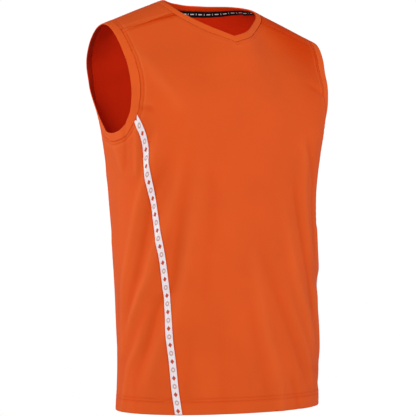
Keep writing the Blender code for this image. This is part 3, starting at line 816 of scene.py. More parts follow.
def seam_painted_shading(kind, distance, chart):
    """Painted shade (-) and painted highlight (+) on the knit beside a seam, in full folds: painted
    shade in the ditch, which is broad below the shoulder seam, in the row of stitches and beside a tape,
    and painted highlight beyond the stitches and behind the shoulder seam."""
    if kind == "side":
        return raised(distance, *TAPE_EDGE_PAINTED_SHADE)
    if kind == "shoulder":
        below, behind = raised(distance, *BELOW_SHOULDER_PAINTED_SHADE), raised(distance, *BEHIND_SHOULDER_PAINTED_HIGHLIGHT)
        tone = np.where(chart[:, 1] > np.mean(SHOULDER_SEAM_Q), below, behind)
        return tone * np.where(chart[:, 0] > 0, FAR_SHOULDER, 1.0)
    return AT_BINDING[kind] * sum(raised(distance, *row) for row in STITCHED_PAINTED_TONES)


def painted_patches(chart):
    """Painted shade and painted light of the broad patches: a bell across and down each."""
    turn, down = round_trip(chart)
    tone = np.zeros(turn.shape)
    for angle, level, half_across, half_down, painted_tone in PAINTED_PATCHES:
        tone += painted_tone * bell(way_round(turn, angle), 0.0, half_across) * bell(down, level, half_down)
    return tone


def seam_lift(distance, along):
    """A sewn seam on a panel: a ditch at the seam, the flat allowance under the cloth and the groove
    of the second row of stitches."""
    lift = layer(distance, *ALLOWANCE) - raised(distance, GROOVE, STITCHED, GROOVE_WIDTH)
    return lift + gathers(along, distance, SEAM_GATHERS)


def tape_lift(distance, along):
    """Beside a taped seam: the tape's edge is pressed into the cloth, which rolls up beyond it."""
    edge = distance - SIDE_TAPE / 2
    lift = raised(edge, *TAPE_ROLL) + raised(edge, *TAPE_DENT)
    return lift + gathers(along, np.abs(edge), TAPE_GATHERS) * ease(edge / TAPE_CLEAR)


def hem_lift(above, along):
    """A turned hem: its layer under the cloth, two grooves of stitches and gathers about them."""
    lift = layer(above, *HEM_LAYER)
    for row in HEM_STITCHES:
        lift -= raised(above, GROOVE, row, GROOVE_WIDTH)
    return lift + gathers(along, np.abs(above - np.mean(HEM_STITCHES)), HEM_GATHERS)


def panel_chart(edges, rows, net):
    """Chart points and triangles of a symmetric panel.

    edges are functions from an offset to the panel's left edges in turn, and rows the offsets for
    each. A row's points stay only where no other edge is nearer, and a hexagonal net fills the
    rest. Blender's constrained Delaunay triangulation joins them.
    """
    lines = [edge(0.0) for edge in edges]
    left = np.concatenate([lines[0], *(line[1:] for line in lines[1:])])
    if abs(left[0, 0]) > 1e-6 or abs(left[-1, 0]) > 1e-6:
        raise RuntimeError("a panel's left edges have to start and end on its middle line")
    outline = both_halves(left)[:-1]
    border = placed(np.concatenate([outline, outline[:1]]))
    dense = read_off(border)(np.linspace(0, 1, 4 * len(border)))
    kept = []
    for edge, offsets in zip(edges, rows):
        for offset in offsets:
            line = edge(offset)[1:]
            line = line[np.abs(line[:, 0]) > FROM_MIDDLE]
            clear = nearest(placed(line), dense)[0] > OWN_ROW * offset
            line = line[clear & within(line, outline)]
            kept += [line, mirrored(line)]
    scale = np.array([PER_DEGREE, 1.0])
    low, high = (outline * scale).min(axis=0), (outline * scale).max(axis=0)
    across = np.arange(0, high[0] + net, net)
    columns = np.concatenate([-across[:0:-1], across])
    grid = np.stack(np.meshgrid(columns, np.arange(low[1], high[1], net * NET_ROW)), axis=-1)
    grid[1::2, :, 0] += net / 2
    grid = grid.reshape(-1, 2) / scale
    grid = grid[within(grid, outline)]
    reach = nearest(placed(grid), dense)[0]
    grid = grid[reach > min(max(offsets) for offsets in rows) + NET_CLEAR * net]
    grid = grid[HEM_Q - np.abs(grid[:, 1]) > max(rows[-1]) + HEM_CLEAR * net]
    chart = np.concatenate([outline, *kept, grid]) * scale
    found = delaunay_2d_cdt(chart.tolist(), [], [list(range(len(outline)))], 1, 1e-5)
    return np.array([v[:] for v in found[0]]) / scale, np.array(found[2])


def within(points, outline):
    """Which points lie inside a closed outline: those from which a level ray crosses it an odd
    number of times."""
    found = np.zeros(len(points), bool)
    for (x0, y0), (x1, y1) in zip(outline, np.roll(outline, -1, axis=0)):
        if y0 != y1:
            crosses = (points[:, 1] < y0) != (points[:, 1] < y1)
            found ^= crosses & (points[:, 0] < x0 + (points[:, 1] - y0) / (y1 - y0) * (x1 - x0))
    return found


def seam_lines():
    """Every seam of the panels on both sides, as lines in millimetres, with its kind."""
    lines = {
        "neck": neck_line(NECK_BAND)(FINE),
        "arm": armhole_line(ARMHOLE_BAND)(FINE),
        "shoulder": shoulder_line(0.0)(FINE),
        "side": side_line(0.0)(FINE),
    }
    return [(kind, placed(turn(line))) for kind, line in lines.items() for turn in SIDES.values()]


def pressed(chart):
    """Height that the seams, the tapes and the hem give the panels, how full their walls are for
    being near a seam, and the painted shading of the knit: painted shade (-) and painted highlight (+)
    beside the seams and in the hem's rows of stitches, and the broad painted patches."""
    at = placed(chart)
    lift, full, tone = np.zeros(len(chart)), np.ones(len(chart)), painted_patches(chart)
    for kind, line in seam_lines():
        distance, along = nearest(at, line)
        lift += tape_lift(distance, along) if kind == "side" else seam_lift(distance, along)
        tone += seam_painted_shading(kind, distance, chart)
        full = np.minimum(full, rounded(distance - SHUT, EDGE_ROUND))
    above = HEM_Q - np.abs(chart[:, 1])
    # painted shade in the hem's rows of stitches
    tone -= sum(bell(above, row, GROOVE_WIDTH) for row in HEM_STITCHES)
    return lift + hem_lift(above, at[:, 0] + at[:, 1]), full, tone


def build_panel(name, edges, materials):
    """A panel as a closed shell, with its seams, hem and tape edges pressed into it."""
    knit = settings("knit")
    chart, faces = panel_chart(edges, PANEL_ROWS, knit.net / MM)
    lift, pinch, tone = pressed(chart)
    above = HEM_Q - np.abs(chart[:, 1])
    hem_full = rounded(above, HEM_ROUND)
    turned = 1 - ease((above - HEM_TURN - HEM_STEP[0]) / HEM_STEP[1])
    wall = knit.wall / MM + (knit.hem_wall - knit.wall) / MM * turned
    full = np.minimum(pinch, hem_full)
    top = lift * ease(full) - DITCH * (1 - pinch) - wall / 2 * (1 - hem_full)
    outer, inner = placed(chart, top), placed(chart, top - wall * full)
    # painted highlight on the crests and painted shade in the hollows of the folds and creases, with that of
    # the seams and patches, as an attribute for the material
    fold = np.clip((folds(chart) + creases(chart)) / FULL_FOLD + tone, *PAINTED_TONE_SPAN)
    return shell(name, outer, inner, faces, chart * (PER_DEGREE, 1.0) * MM, materials, fold)


def panel_edges(sign):
    """The left edges of the front (sign 1) or of the back (-1), from the middle of the neck round to
    the middle of the hem: neck, shoulder, armhole, side and hem, as functions from an offset."""
    if sign == 1:
        place, neck_span, arm_span = same_side, (0, AT_NECK), (AT_ARM, 1)
    else:
        place, neck_span, arm_span = round_the_side, (AT_NECK, 1), (0, AT_ARM)
    side = lambda t: place(side_line(sign * SHUT)(t))
    neck_t = shares(neck_line(NECK_BAND), *neck_span, EDGE_STEP)[::sign]
    shoulder_t = shares(shoulder_line(0.0), 0, 1, EDGE_STEP)
    arm_t = shares(armhole_line(ARMHOLE_BAND), *arm_span, EDGE_STEP)[::sign]
    side_t = shares(side_line(sign * SHUT), 0, 1, EDGE_STEP)
    hem_t = shares(hem_line(side, 0.0, sign), 0, 1, EDGE_STEP)
    return (
        lambda offset: neck_line(NECK_BAND + SHUT + offset)(neck_t),
        lambda offset: shoulder_line(sign * (SHUT + offset))(shoulder_t),
        lambda offset: armhole_line(ARMHOLE_BAND + SHUT + offset)(arm_t),
        lambda offset: place(side_line(sign * (SHUT + offset))(side_t)),
        lambda offset: hem_line(side, offset, sign)(hem_t),
    )


# ---------------------------------------------------------------------------------------------
# Bindings and tapes
# ---------------------------------------------------------------------------------------------

BAND_STEP = 2.6  # spacing of the points along the armhole bindings and the side tapes
NECK_STEP = 2.4  # and along the neck
BAND_GATHERS = (8.5, 7.0)  # spacing of the gathers along a binding, and their reach from its seam
GATHERS_INSIDE = 0.4  # share of the gathers' height that shows inside a binding
SELVEDGE_ROUND = 0.5  # a tape's wall thins over this at its selvedges
TAPE_ACROSS = np.array([-1.0, -0.97, -0.9, -0.6, -0.3, 0.0, 0.3, 0.6, 0.9, 0.97, 1.0])
TAPE_LIFT = 0.05  # underside of the side tapes above the cloth
NECK_TAPE_LIFT = -1.85  # visible side of the neck tape, inside the back
NECK_TAPE_SINK = 0.6  # and how much farther in it lies at its ends, over the binding
NECK_TAPE_CLIMB = 0.6  # share of its half length over which it runs up there
TAPE_STITCHES = 1.2  # stitches this far inside each selvedge of a side tape
NECK_TAPE_STITCHES = 0.85  # and at this share of the neck tape's half width


def band_section(width):
    """The section of a folded binding, from its seam over the outside, round the finished edge and
    back along the inside: (way from the finished edge, height), and which points lie inside."""
    outside = (
        (width - SHUT, -0.62), (width - 0.25, -0.22), (width - 0.7, 0.12), (width - 1.4, 0.34),
        (width - 2.4, 0.42), (width - 3.6, 0.46), (width * 0.55, 0.48),
        (width * 0.38, 0.50), (width * 0.24, 0.54), (1.9, 0.58), (1.1, 0.46), (0.5, 0.16), (0.12, -0.3),
    )
    inside = (
        (0.0, -0.72), (0.15, -1.15), (0.6, -1.55), (1.4, -1.74), (width * 0.3, -1.78),
        (width * 0.6, -1.74), (width - 2.6, -1.70), (width - 1.2, -1.62), (width - 0.4, -1.25),
    )
    section = np.array(outside + inside)
    slots = np.zeros(len(section), int)
    slots[len(outside) :] = 1
    return section[:, 0], section[:, 1], slots


def build_band(name, rows_at, width, materials):
    """A folded binding; rows_at gives its closed chart line at a distance from the finished edge.
    Gathers run across it, strongest at its seam and fainter inside."""
    widths, heights, slots = band_section(width)
    rows = [rows_at(w) for w in widths]
    along = way_along(placed(rows[len(rows) // 4]))
    lifts = [
        height + gathers(along, width - w, BAND_GATHERS) * (GATHERS_INSIDE if inside else 1.0)
        for w, height, inside in zip(widths, heights, slots)
    ]
    across = running_sum(np.hypot(np.diff(widths), np.diff(heights)))
    return fold_round(name, rows, lifts, across, materials, slots)


def armhole_rows(turn):
    t = shares(armhole_line(ARMHOLE_BAND), 0, 1, BAND_STEP)[:-1]
    return lambda width: turn(armhole_line(width)(t))


def neck_rows():
    t = shares(neck_line(NECK_BAND), 0, 1, NECK_STEP)
    return lambda width: both_halves(neck_line(width)(t))[:-1]


def tape_shell(name, rows, lift, wall, materials):
    """A woven tape: chart lines side by side from one selvedge to the other. Its wall thins to a
    round selvedge, and u runs across it and v along it."""
    chart = np.stack(rows)
    count, length = chart.shape[:2]
    i, j = (a.ravel() for a in np.meshgrid(np.arange(count - 1), np.arange(length - 1), indexing="ij"))
    corners = ((i, j), (i, j + 1), (i + 1, j + 1), (i + 1, j))
    faces = np.stack([a * length + b for a, b in corners], axis=1)
    at = placed(chart)
    u = running_sum(np.linalg.norm(np.diff(at, axis=0), axis=2).mean(axis=1))
    u -= u[-1] / 2
    v = way_along(at[count // 2])
    full = rounded(u[-1] - np.abs(u), SELVEDGE_ROUND)[:, None]
    top = lift + wall * (0.5 + 0.5 * full) * np.ones((1, length))
    outer, inner = placed(chart, top), placed(chart, top - wall * full)
    uv = np.stack(np.meshgrid(u, v, indexing="ij"), axis=-1).reshape(-1, 2) * MM
    return shell(name, outer.reshape(-1, 3), inner.reshape(-1, 3), faces, uv, materials)


def neck_tape_row(share):
    """The chart line at this share of the neck tape's half width, from end to end, and its height:
    towards its ends the tape runs up over the seam, inside the binding."""
    t = shares(neck_line(NECK_BAND), AT_HIGH_POINT, 1, NECK_STEP)
    width = NECK_BAND + NECK_TAPE_DROP + NECK_TAPE * (1 + share) / 2
    over = 1 - ease((t - t[0]) / (t[-1] - t[0]) / NECK_TAPE_CLIMB)
    level, raised = neck_line(width)(t), neck_line(width - NECK_TAPE_RISE)(t)
    half = level * (1 - over[:, None]) + raised * over[:, None]
    lift = NECK_TAPE_LIFT - NECK_TAPE_SINK * over
    return both_halves(half), np.concatenate([lift, lift[::-1][1:]])


# ---------------------------------------------------------------------------------------------
# Stitching
# ---------------------------------------------------------------------------------------------

# A stitch is a spindle of unit length and unit half thickness that dives into the cloth at both
# ends: (x, thickness, height) of its three rings, and its two tips.
SPINDLE = ((-0.4, 0.8, 0.1), (0, 1, 0.6), (0.4, 0.8, 0.1))
TIPS = ((-0.5, 0, -1.2), (0.5, 0, -1.2))
STITCH_SIDES = 6
STITCH_LINE_STEP = 2.0  # spacing of the points on a line of stitches
STITCH_LIFT = 0.1  # a stitch lies this far above the cloth
TAPE_STITCH_LIFT = 0.02  # and this far above a tape


def stitch_form():
    """Points and triangles of one stitch lying along x: its rings joined, and a fan at each tip."""
    count = STITCH_SIDES
    turn = np.arange(count) / count * 2 * np.pi
    ring = np.stack([np.zeros(count), np.cos(turn), np.sin(turn)], axis=1)
    rings = [ring * (1, fat, fat) + (x, 0, high) for x, fat, high in SPINDLE]
    j = np.arange(count)
    k = (j + 1) % count
    tip = np.full(count, 3 * count)
    faces = [(tip, k, j), (tip + 1, 2 * count + j, 2 * count + k)]
    for a in (0, count):
        faces += [(a + j, a + k, a + count + k), (a + j, a + count + k, a + count + j)]
    return np.concatenate([*rings, TIPS]), np.concatenate([np.stack(face, 1) for face in faces])


def cloth_rows():
    """Chart lines of the stitches through the cloth: round the neck and the armholes, behind the
    shoulder seams, and twice round the hem."""
    step = STITCH_LINE_STEP
    neck = neck_line(NECK_BAND + STITCHED)(shares(neck_line(NECK_BAND), 0, 1, step))
    arm = armhole_line(ARMHOLE_BAND + STITCHED)(shares(armhole_line(ARMHOLE_BAND), 0, 1, step))
    shoulder = shoulder_line(-SHOULDER_STITCHES)(shares(shoulder_line(0.0), 0.05, 0.95, step))
    rows = [both_halves(neck)]
    for turn in SIDES.values():
        rows += [turn(arm), turn(shoulder)]
    front_end = side_line(SIDE_TAPE / 2)(1.0)[0]
    back_end = 180 - side_line(-SIDE_TAPE / 2)(1.0)[0]
    for rise in HEM_STITCHES:
        for sign, end, count in ((1, front_end, 200), (-1, back_end, 400)):
            level = np.full(count, sign * (HEM_Q - rise))
            rows.append(np.stack([np.linspace(-end, end, count), level], axis=-1))
    return rows


def stitch_row(line, lift, facing):
    """Frames of the stitches along a chart line: middles, directions, and the cloth's normal, or
    its inward one where facing is -1."""
    at = placed(line, lift)
    way = way_along(at)
    count = max(2, int(way[-1] / (settings("trim").stitch_pitch / MM)))
    spots = (np.arange(count) + 0.5) * way[-1] / count
    middle = read_off(at, way)(spots)
    up = read_off(directions(line)[2] * facing, way)(spots)
    ahead = read_off(np.gradient(at, axis=0), way)(spots)
    ahead /= np.linalg.norm(ahead, axis=1, keepdims=True)
    up -= (up * ahead).sum(axis=1, keepdims=True) * ahead
    up /= np.linalg.norm(up, axis=1, keepdims=True)
    return middle, ahead, up


def sew(name, rows, facing, material):
    """All the stitches of some rows as one mesh. rows are (chart line, lift) pairs; a lift is a
    number or one for each point."""
    trim = settings("trim")
    form, triangles = stitch_form()
    frames = [stitch_row(line, lift, facing) for line, lift in rows]
    middle, ahead, up = (np.concatenate(parts) for parts in zip(*frames))
    side = np.cross(up, ahead)
    size = np.array([trim.stitch_length / MM, trim.thread / MM / 2, trim.thread / MM / 2])
    local = form * size
    points = (
        middle[:, None]
        + local[None, :, :1] * ahead[:, None]
        + local[None, :, 1:2] * side[:, None]
        + local[None, :, 2:] * up[:, None]
    )
    count, each = points.shape[:2]
    faces = (triangles[None] + np.arange(count)[:, None, None] * each).reshape(-1, 3)
    uv = np.tile(local[:, :2] * MM, (count, 1))
    return new_piece(name, points.reshape(-1, 3), faces, uv[faces], [material])


# ---------------------------------------------------------------------------------------------
# Materials
# ---------------------------------------------------------------------------------------------

NOISE_SPAN = (0.3, 0.7)  # nearly all of the noise lies between these
BINDING_RIB = 1.8 * MM  # spacing of a binding's ribs, as they are drawn
TAPE_RIB = 0.8 * MM  # and of a tape's
NECK_TAPE_REPEAT = 15.0 * MM  # length of one repeat along the neck tape
RING_AT = 0.8  # a ring's line lies at this share of its size
RING_HALF_WIDTH = 0.3125  # and is this thick to either side


def add(tree, kind, inputs=None, **made_as):
    """Adds a node, makes its settings, and sets or links its inputs. An input goes by its name, or
    by its number where several share one. A node given as a value stands for its first output."""
    node = tree.nodes.new(kind)
    for name, value in made_as.items():
        setattr(node, name, value)
    for key, value in (inputs or {}).items():
        named = (s for s in node.inputs if s.enabled and s.name == key)
        socket = node.inputs[key] if isinstance(key, int) else next(named)
        if isinstance(value, bpy.types.Node):
            value = next(s for s in value.outputs if s.enabled)
        if isinstance(value, bpy.types.NodeSocket):
            tree.links.new(value, socket)
        else:
            socket.default_value = value
    return node


def textile(name, roughness, specular):
    """A new cloth material, with its node tree, its shader and the cloth's own coordinates, which
    are in metres."""
    made = bpy.data.materials.new(name)
    made.use_nodes = True
    tree = made.node_tree
    shader = tree.nodes["Principled BSDF"]
    shader.inputs["Roughness"].default_value = roughness
    shader.inputs["Specular IOR Level"].default_value = specular
    place = add(tree, "ShaderNodeUVMap", uv_map="Cloth")
    return made, tree, shader, place, add(tree, "ShaderNodeSeparateXYZ", {"Vector": place})


def mapped(tree, value, span, result, kind="LINEAR"):
    """value, brought from a span into the result's span and kept inside it."""
    return add(
        tree, "ShaderNodeMapRange",
        {"Value": value, "From Min": span[0], "From Max": span[1], "To Min": result[0], "To Max": result[1]},
        interpolation_type=kind,
    )


def unevenly(tree, colour, place, scale, detail, tones):
    """The colour, made brighter and dimmer between two tones by noise of this scale."""
    noise = add(tree, "ShaderNodeTexNoise", {"Vector": place, "Scale": scale, "Detail": detail})
    tone = mapped(tree, noise, NOISE_SPAN, tones)
    return add(tree, "ShaderNodeVectorMath", {0: colour, "Scale": tone}, operation="SCALE")


def ribs(tree, way, pitch):
    """Cosine of the way along, one wave to each pitch."""
    turns = add(tree, "ShaderNodeMath", {0: way, 1: 2 * np.pi / pitch}, operation="MULTIPLY")
    return add(tree, "ShaderNodeMath", {0: turns}, operation="COSINE")


def dress(tree, shader, colour, height=None, strength=0.0, distance=0.0):
    """Links the colour, and the small relief where there is one, to the shader."""
    tree.links.new(next(s for s in colour.outputs if s.enabled), shader.inputs["Base Color"])
    if height is not None:
        bump = add(
            tree, "ShaderNodeBump", {"Strength": strength, "Distance": distance, "Height": height}
        )
        tree.links.new(bump.outputs[0], shader.inputs["Normal"])


def eyelet_knit(name, colour, hole, folded, roughness):
    """Polyester eyelet knit, knitted in the round with small holes in staggered rows and dyed: a
    matt cloth, plain from afar and finely dotted near by.

    The real holes are about 1.6 mm apart, too fine to show in the render, so they are drawn twice
    as coarse, and faint. A hole is where the product of a cosine across and one down is high.
    The colour also carries painted highlight along the crests of the folds and painted shade in
    their hollows, beside the seams and in broad patches: the fourth argument is how much lighter one
    full fold paints it, and the point attribute says how many full folds.
    """
    made, tree, shader, place, at = textile(name, roughness, 0.06)
    pitch = settings("knit").eyelet_pitch
    waves = {0: ribs(tree, at.outputs["X"], pitch), 1: ribs(tree, at.outputs["Y"], pitch)}
    lattice = add(tree, "ShaderNodeMath", waves, operation="MULTIPLY")
    holes = mapped(tree, lattice, (0.2, 0.85), (0.0, 0.32), "SMOOTHSTEP")
    ground = add(
        tree, "ShaderNodeMix", {"Factor": holes, "A": (*colour, 1), "B": (*hole, 1)}, data_type="RGBA",
    )
    dyed = unevenly(tree, ground, place, 12.0, 2.0, (0.97, 1.03))
    # the point attribute holds the painted shading in full folds; the colour gets painted highlight and
    # painted shade from it
    fold = add(tree, "ShaderNodeAttribute", attribute_name="fold").outputs["Fac"]
    with_painted_shading = {0: tuple(folded), 1: fold, 2: dyed}
    with_painted_shading = add(tree, "ShaderNodeVectorMath", with_painted_shading, operation="MULTIPLY_ADD")
    yarn = add(tree, "ShaderNodeTexNoise", {"Vector": place, "Scale": 1100.0, "Detail": 2.0})
    rise = add(tree, "ShaderNodeMath", {0: holes, 1: -4.5, 2: yarn}, operation="MULTIPLY_ADD")
    dress(tree, shader, with_painted_shading, rise, 0.25, 0.4 * MM)
    return made


def binding_knit(name, colour):
    """Polyester jersey without holes, cut in a strip, folded and sewn round the edge: plain, matt,
    and finely ribbed along its length.

    The real ribs are 0.6 mm apart, too fine to show, so they are drawn three times as coarse.
    """
    made, tree, shader, place, at = textile(name, 0.75, 0.08)
    dyed = unevenly(tree, tuple(colour), place, 30.0, 2.0, (0.97, 1.03))
    dress(tree, shader, dyed, ribs(tree, at.outputs["Y"], BINDING_RIB), 0.15, 0.3 * MM)
    return made


def woven_tape(name, ground, marks):
    """Narrow woven polyester tape: flat, crisp and a little shiny, ribbed across by its weft.

    marks gives, for each motif, a function from the tree and the place about the motif to a measure
    that is 1 on its outline, its colour, and how motif_place spaces and sizes it. The real ribs are
    0.4 mm apart, and are drawn twice as coarse to show.
    """
    made, tree, shader, place, at = textile(name, 0.6, 0.15)
    colour = unevenly(tree, tuple(ground), place, 900.0, 1.0, (0.95, 1.0))
    for measure, tint, *spacing in marks:
        shown = mapped(tree, measure(tree, motif_place(tree, at, *spacing)), (0.9, 1.1), (1.0, 0.0))
        colour = add(
            tree, "ShaderNodeMix", {"Factor": shown, "A": colour, "B": (*tint, 1)}, data_type="RGBA",
        )
    dress(tree, shader, colour, ribs(tree, at.outputs["Y"], TAPE_RIB), 0.3, 0.15 * MM)
    return made


def sewing_thread(name, colour):
    """Twisted polyester thread: fine, with a slight shine and a streak along its twist."""
    made, tree, shader, place, at = textile(name, 0.55, 0.3)
    dress(tree, shader, unevenly(tree, tuple(colour), place, 1500.0, 1.0, (0.92, 1.05)))
    return made


def motif_place(tree, at, repeat, shift, half_width, half_length):
    """Place about the nearest motif of a row along v, in its own half width and length."""
    shifted = add(tree, "ShaderNodeMath", {0: at.outputs["Y"], 1: shift}, operation="ADD")
    ahead = add(tree, "ShaderNodeMath", {0: shifted, 1: repeat / 2, 2: -repeat / 2}, operation="WRAP")
    spot = add(tree, "ShaderNodeCombineXYZ", {"X": at.outputs["X"], "Y": ahead})
    size = (1 / half_width, 1 / half_length, 0)
    scaled = add(tree, "ShaderNodeVectorMath", {0: spot, 1: size}, operation="MULTIPLY")
    return add(tree, "ShaderNodeVectorMath", {0: scaled}, operation="ABSOLUTE")


def lozenge(tree, spot):
    """The two ways from the middle, added up."""
    return add(tree, "ShaderNodeVectorMath", {0: spot, 1: (1, 1, 0)}, operation="DOT_PRODUCT")


def disc(tree, spot):
    """The distance from the middle."""
    return add(tree, "ShaderNodeVectorMath", {0: spot}, operation="LENGTH")


def ring(tree, spot):
    """How far the distance is from that of the ring's line, in half the line's width."""
    off = add(tree, "ShaderNodeMath", {0: disc(tree, spot), 1: -RING_AT}, operation="ADD")
    away = add(tree, "ShaderNodeMath", {0: off}, operation="ABSOLUTE")
    return add(tree, "ShaderNodeMath", {0: away, 1: 1 / RING_HALF_WIDTH}, operation="MULTIPLY")


def block(tree, spot):
    """The longer of the two ways from the middle."""
    ways = add(tree, "ShaderNodeSeparateXYZ", {"Vector": spot}).outputs
    return add(tree, "ShaderNodeMath", {0: ways["X"], 1: ways["Y"]}, operation="MAXIMUM")


def side_tape_marks():
    """A plain repeat for the side tapes: a lozenge, a small dot, an open ring and a small dot."""
    repeat, colours = settings("trim").motif_repeat, settings("colours")
    return (
        (disc, colours.dot, repeat / 2, repeat / 4, 0.8 * MM, 0.8 * MM),
        (ring, colours.ring, repeat, repeat / 2, 3.1 * MM, 3.8 * MM),
        (lozenge, colours.rust, repeat, 0.0, 3.4 * MM, 4.3 * MM),
    )


def neck_tape_marks():
    """A plain repeat for the neck tape: a short dash and a thin bar."""
    repeat, dash = NECK_TAPE_REPEAT, settings("colours").dash
    return (
        (block, dash, repeat, 0.0, 1.1 * MM, 3.4 * MM),
        (block, dash, repeat, repeat / 2, 2.2 * MM, 0.4 * MM),
    )


# ---------------------------------------------------------------------------------------------
# Operators
# ---------------------------------------------------------------------------------------------

SENSOR = 36.0  # the camera's sensor and lens, in millimetres
LENS = 134.67
LENS_SHIFT = (-0.00481, 0.11422)  # how far the picture is shifted, in its widths
FLOOR_REACH = 60.0  # half the side of the floor, in metres
FLOOR_FADE = (1.5, 6.0)  # metres from under the top between which the lit floor grows to full white
SKY_FADE = (0.22, 0.6)  # sines of the heights between which the surround grows dimmer
# Soft lights round the top: (setting with the power, degrees round it from its front, degrees above
# its middle, size in metres).
LAMPS = (("key", -50, 12, 1.4), ("rim", -132, 20, 1.4), ("fill", 40, 10, 1.4))
LAMP_DISTANCE = 4.5  # metres from the top
LAMP_AIM = -0.35  # height that they are aimed at


def lit_paint(colour, near):
    """Matt white paint that lights itself: by near under the top, and fully farther away."""
    paint = bpy.data.materials.new("Matt white paint")
    paint.use_nodes = True
    tree = paint.node_tree
    shader = tree.nodes["Principled BSDF"]
    shader.inputs["Base Color"].default_value = (0, 0, 0, 1)
    shader.inputs["Roughness"].default_value = 1.0
    shader.inputs["Specular IOR Level"].default_value = 0.0
    shader.inputs["Emission Color"].default_value = (*colour, 1)
    place = add(tree, "ShaderNodeTexCoord").outputs["Object"]
    away = add(tree, "ShaderNodeVectorMath", {0: place}, operation="LENGTH")
    shine = mapped(tree, away.outputs["Value"], FLOOR_FADE, (near, 1.0), "SMOOTHSTEP")
    tree.links.new(shine.outputs[0], shader.inputs["Emission Strength"])
    return paint


def binding_faces(where, reverse):
    """The outside of a binding, and its inside in the colour that shows there."""
    name = "Polyester jersey binding, " + where
    return [binding_knit(name, settings("colours").binding), binding_knit(name + " reverse", reverse)]


def as_sheet(node):
    """Hides the solid that a piece of cloth stands for."""
    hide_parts(node)


class TANKTOP_OT_stage(bpy.types.Operator):
    """Makes the camera, the floor, the white surround and the soft lights"""

    bl_idname = "tank_top.stage"
    bl_label = "Stage"

    def execute(self, context):
        stage, scene = settings("stage"), context.scene
        data = bpy.data.cameras.new("Camera")
        data.sensor_width, data.lens = SENSOR, LENS
        data.shift_x, data.shift_y = LENS_SHIFT
        camera = stand("Camera", data)
        back = Vector((np.sin(stage.azimuth), -np.cos(stage.azimuth), 0))
        camera.location = back * stage.distance + Vector((0, stage.middle, stage.height))
        camera.rotation_euler = (np.pi / 2, 0, stage.azimuth)
        scene.camera = camera
        scene.view_settings.view_transform = "Standard"

        mesh = bpy.data.meshes.new("floor")
        corners = np.array([(-1, -1), (1, -1), (1, 1), (-1, 1)]) * FLOOR_REACH
        mesh.from_pydata([(x, y, -stage.drop) for x, y in corners], [], [(0, 1, 2, 3)])
        mesh.materials.append(lit_paint(settings("colours").floor, stage.floor_near))
        stand("floor", mesh)

        world = bpy.data.worlds.new("White surround")
        world.use_nodes = True
        tree = world.node_tree
        place = add(tree, "ShaderNodeTexCoord").outputs["Generated"]
        way = add(tree, "ShaderNodeSeparateXYZ", {"Vector": place})
        shine = mapped(tree, way.outputs["Z"], SKY_FADE, (stage.surround, stage.overhead), "SMOOTHSTEP")
        tree.nodes["Background"].inputs["Color"].default_value = (1, 1, 1, 1)
        tree.links.new(shine.outputs[0], tree.nodes["Background"].inputs["Strength"])
        scene.world = world

        for name, turn, rise, size in LAMPS:
            turn, rise = np.radians(turn), np.radians(rise)
            way = Vector((np.sin(turn) * np.cos(rise), -np.cos(turn) * np.cos(rise), np.sin(rise)))
            light = bpy.data.lights.new("Soft " + name, "AREA")
            light.shape, light.size, light.energy = "SQUARE", size, getattr(stage, name)
            lamp = stand("Soft " + name, light)
            lamp.location = Vector((0, stage.middle, LAMP_AIM)) + way * LAMP_DISTANCE
            lamp.rotation_euler = way.to_track_quat("Z", "Y").to_euler()
        return {"FINISHED"}


class TANKTOP_OT_panels(bpy.types.Operator):
    """Makes the front and the back, with their turned-up hems"""

    bl_idname = "tank_top.panels"
    bl_label = "Panels"

    def execute(self, context):
        colours = settings("colours")
        # half the step from the painted shade in a hollow to the painted highlight on a crest, per full
        # fold; the inside of the panels gets none
        folded = (np.array(colours.crest) - np.array(colours.hollow)) / 2
        name = "Polyester eyelet knit"
        knit = [
            eyelet_knit(name, colours.face, colours.eyelet, folded, 0.8),
            eyelet_knit(name + ", reverse", colours.reverse, colours.eyelet, 0 * folded, 0.85),
        ]
        front = build_panel("front_panel", panel_edges(1), knit)
        as_sheet("front")
        back = build_panel("back_panel", panel_edges(-1), knit)
        as_sheet("back")
        return {"FINISHED"}


class TANKTOP_OT_neckband(bpy.types.Operator):
    """Makes the folded binding round the neck"""

    bl_idname = "tank_top.neckband"
    bl_label = "Neckband"

    def execute(self, context):
        knit = binding_faces("neck", settings("colours").turned)
        piece = build_band("neck_binding", neck_rows(), NECK_BAND, knit)
        as_sheet("neckband")
        return {"FINISHED"}


class TANKTOP_OT_armhole_bands(bpy.types.Operator):
    """Makes the folded bindings round both armholes"""

    bl_idname = "tank_top.armhole_bands"
    bl_label = "Armhole bands"

    def execute(self, context):
        # the inside of the arm bindings in the darker colour, painted shade
        knit = binding_faces("arms", settings("colours").shaded)
        for side, turn in SIDES.items():
            piece = build_band("armhole_binding_" + side, armhole_rows(turn), ARMHOLE_BAND, knit)
            as_sheet("armhole_band_" + side)
        return {"FINISHED"}


class TANKTOP_OT_tapes(bpy.types.Operator):
    """Makes the woven tapes over the side seams and inside the neck"""

    bl_idname = "tank_top.tapes"
    bl_label = "Tapes"

    def execute(self, context):
        colours, wall = settings("colours"), settings("trim").tape_wall / MM
        weave = woven_tape("Woven polyester tape", colours.tape, side_tape_marks())
        t = shares(side_line(0.0), 0, 1, BAND_STEP)
        for side, turn in SIDES.items():
            rows = [turn(side_line(share * SIDE_TAPE / 2)(t)) for share in TAPE_ACROSS]
            tape = tape_shell("side_seam_tape_" + side, rows, TAPE_LIFT, wall, [weave, weave])
            as_sheet("side_tape_" + side)
        weave = woven_tape("Woven polyester tape, black", colours.neck_tape, neck_tape_marks())
        rows, lifts = zip(*(neck_tape_row(share) for share in TAPE_ACROSS))
        tape = tape_shell("neck_seam_tape", rows, lifts[0], wall, [weave, weave])
        as_sheet("neck_tape")
        return {"FINISHED"}


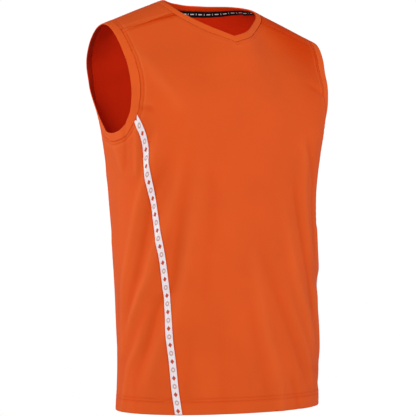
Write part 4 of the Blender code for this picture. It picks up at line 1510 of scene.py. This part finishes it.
class TANKTOP_OT_stitching(bpy.types.Operator):
    """Sews the seams, the hem and the tapes"""

    bl_idname = "tank_top.stitching"
    bl_label = "Stitching"

    def execute(self, context):
        colours, trim = settings("colours"), settings("trim")
        rows = [(line, pressed(line)[0] + STITCH_LIFT) for line in cloth_rows()]
        sew("stitching", rows, 1, sewing_thread("Polyester thread", colours.thread))
        t = shares(side_line(0.0), 0, 1, BAND_STEP)[1:-1]
        beside_selvedge = SIDE_TAPE / 2 - TAPE_STITCHES
        lift = TAPE_LIFT + trim.tape_wall / MM + TAPE_STITCH_LIFT
        rows = [
            (turn(side_line(offset)(t)), lift)
            for turn in SIDES.values()
            for offset in (-beside_selvedge, beside_selvedge)
        ]
        sew("stitching_side_tapes", rows, 1, sewing_thread("Polyester thread, white", colours.tape))
        edges = map(neck_tape_row, (-NECK_TAPE_STITCHES, NECK_TAPE_STITCHES))
        rows = [(line, lift - TAPE_STITCH_LIFT) for line, lift in edges]
        sew("stitching_neck_tape", rows, -1, sewing_thread("Polyester thread, black", colours.neck_tape))
        return {"FINISHED"}


class TANKTOP_PT_top(bpy.types.Panel):
    """Sizes, colours and steps of the top"""

    bl_idname = "TANKTOP_PT_top"
    bl_label = "Tank Top"
    bl_space_type = "VIEW_3D"
    bl_region_type = "UI"
    bl_category = "Tank Top"

    def draw(self, context):
        for name in SETTINGS:
            box = self.layout.box()
            group = getattr(context.scene, name)
            for key in group.bl_rna.properties.keys():
                if key not in ("rna_type", "name"):
                    box.prop(group, key)
        for operator in OPERATORS:
            self.layout.operator(operator.bl_idname)


OPERATORS = (
    TANKTOP_OT_stage,
    TANKTOP_OT_panels,
    TANKTOP_OT_neckband,
    TANKTOP_OT_armhole_bands,
    TANKTOP_OT_tapes,
    TANKTOP_OT_stitching,
)


def register():
    for made in (*SETTINGS.values(), *OPERATORS, TANKTOP_PT_top):
        bpy.utils.register_class(made)
    for name, group in SETTINGS.items():
        setattr(bpy.types.Scene, name, bpy.props.PointerProperty(type=group))


def unregister():
    for name in SETTINGS:
        delattr(bpy.types.Scene, name)
    for made in (TANKTOP_PT_top, *reversed(OPERATORS), *reversed(SETTINGS.values())):
        bpy.utils.unregister_class(made)


def main():
    """Makes the whole top and its stage."""
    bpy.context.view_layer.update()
    register()
    bpy.ops.tank_top.stage()
    bpy.ops.tank_top.panels()
    bpy.ops.tank_top.neckband()
    bpy.ops.tank_top.armhole_bands()
    bpy.ops.tank_top.tapes()
    bpy.ops.tank_top.stitching()


if __name__ == "__main__":
    main()
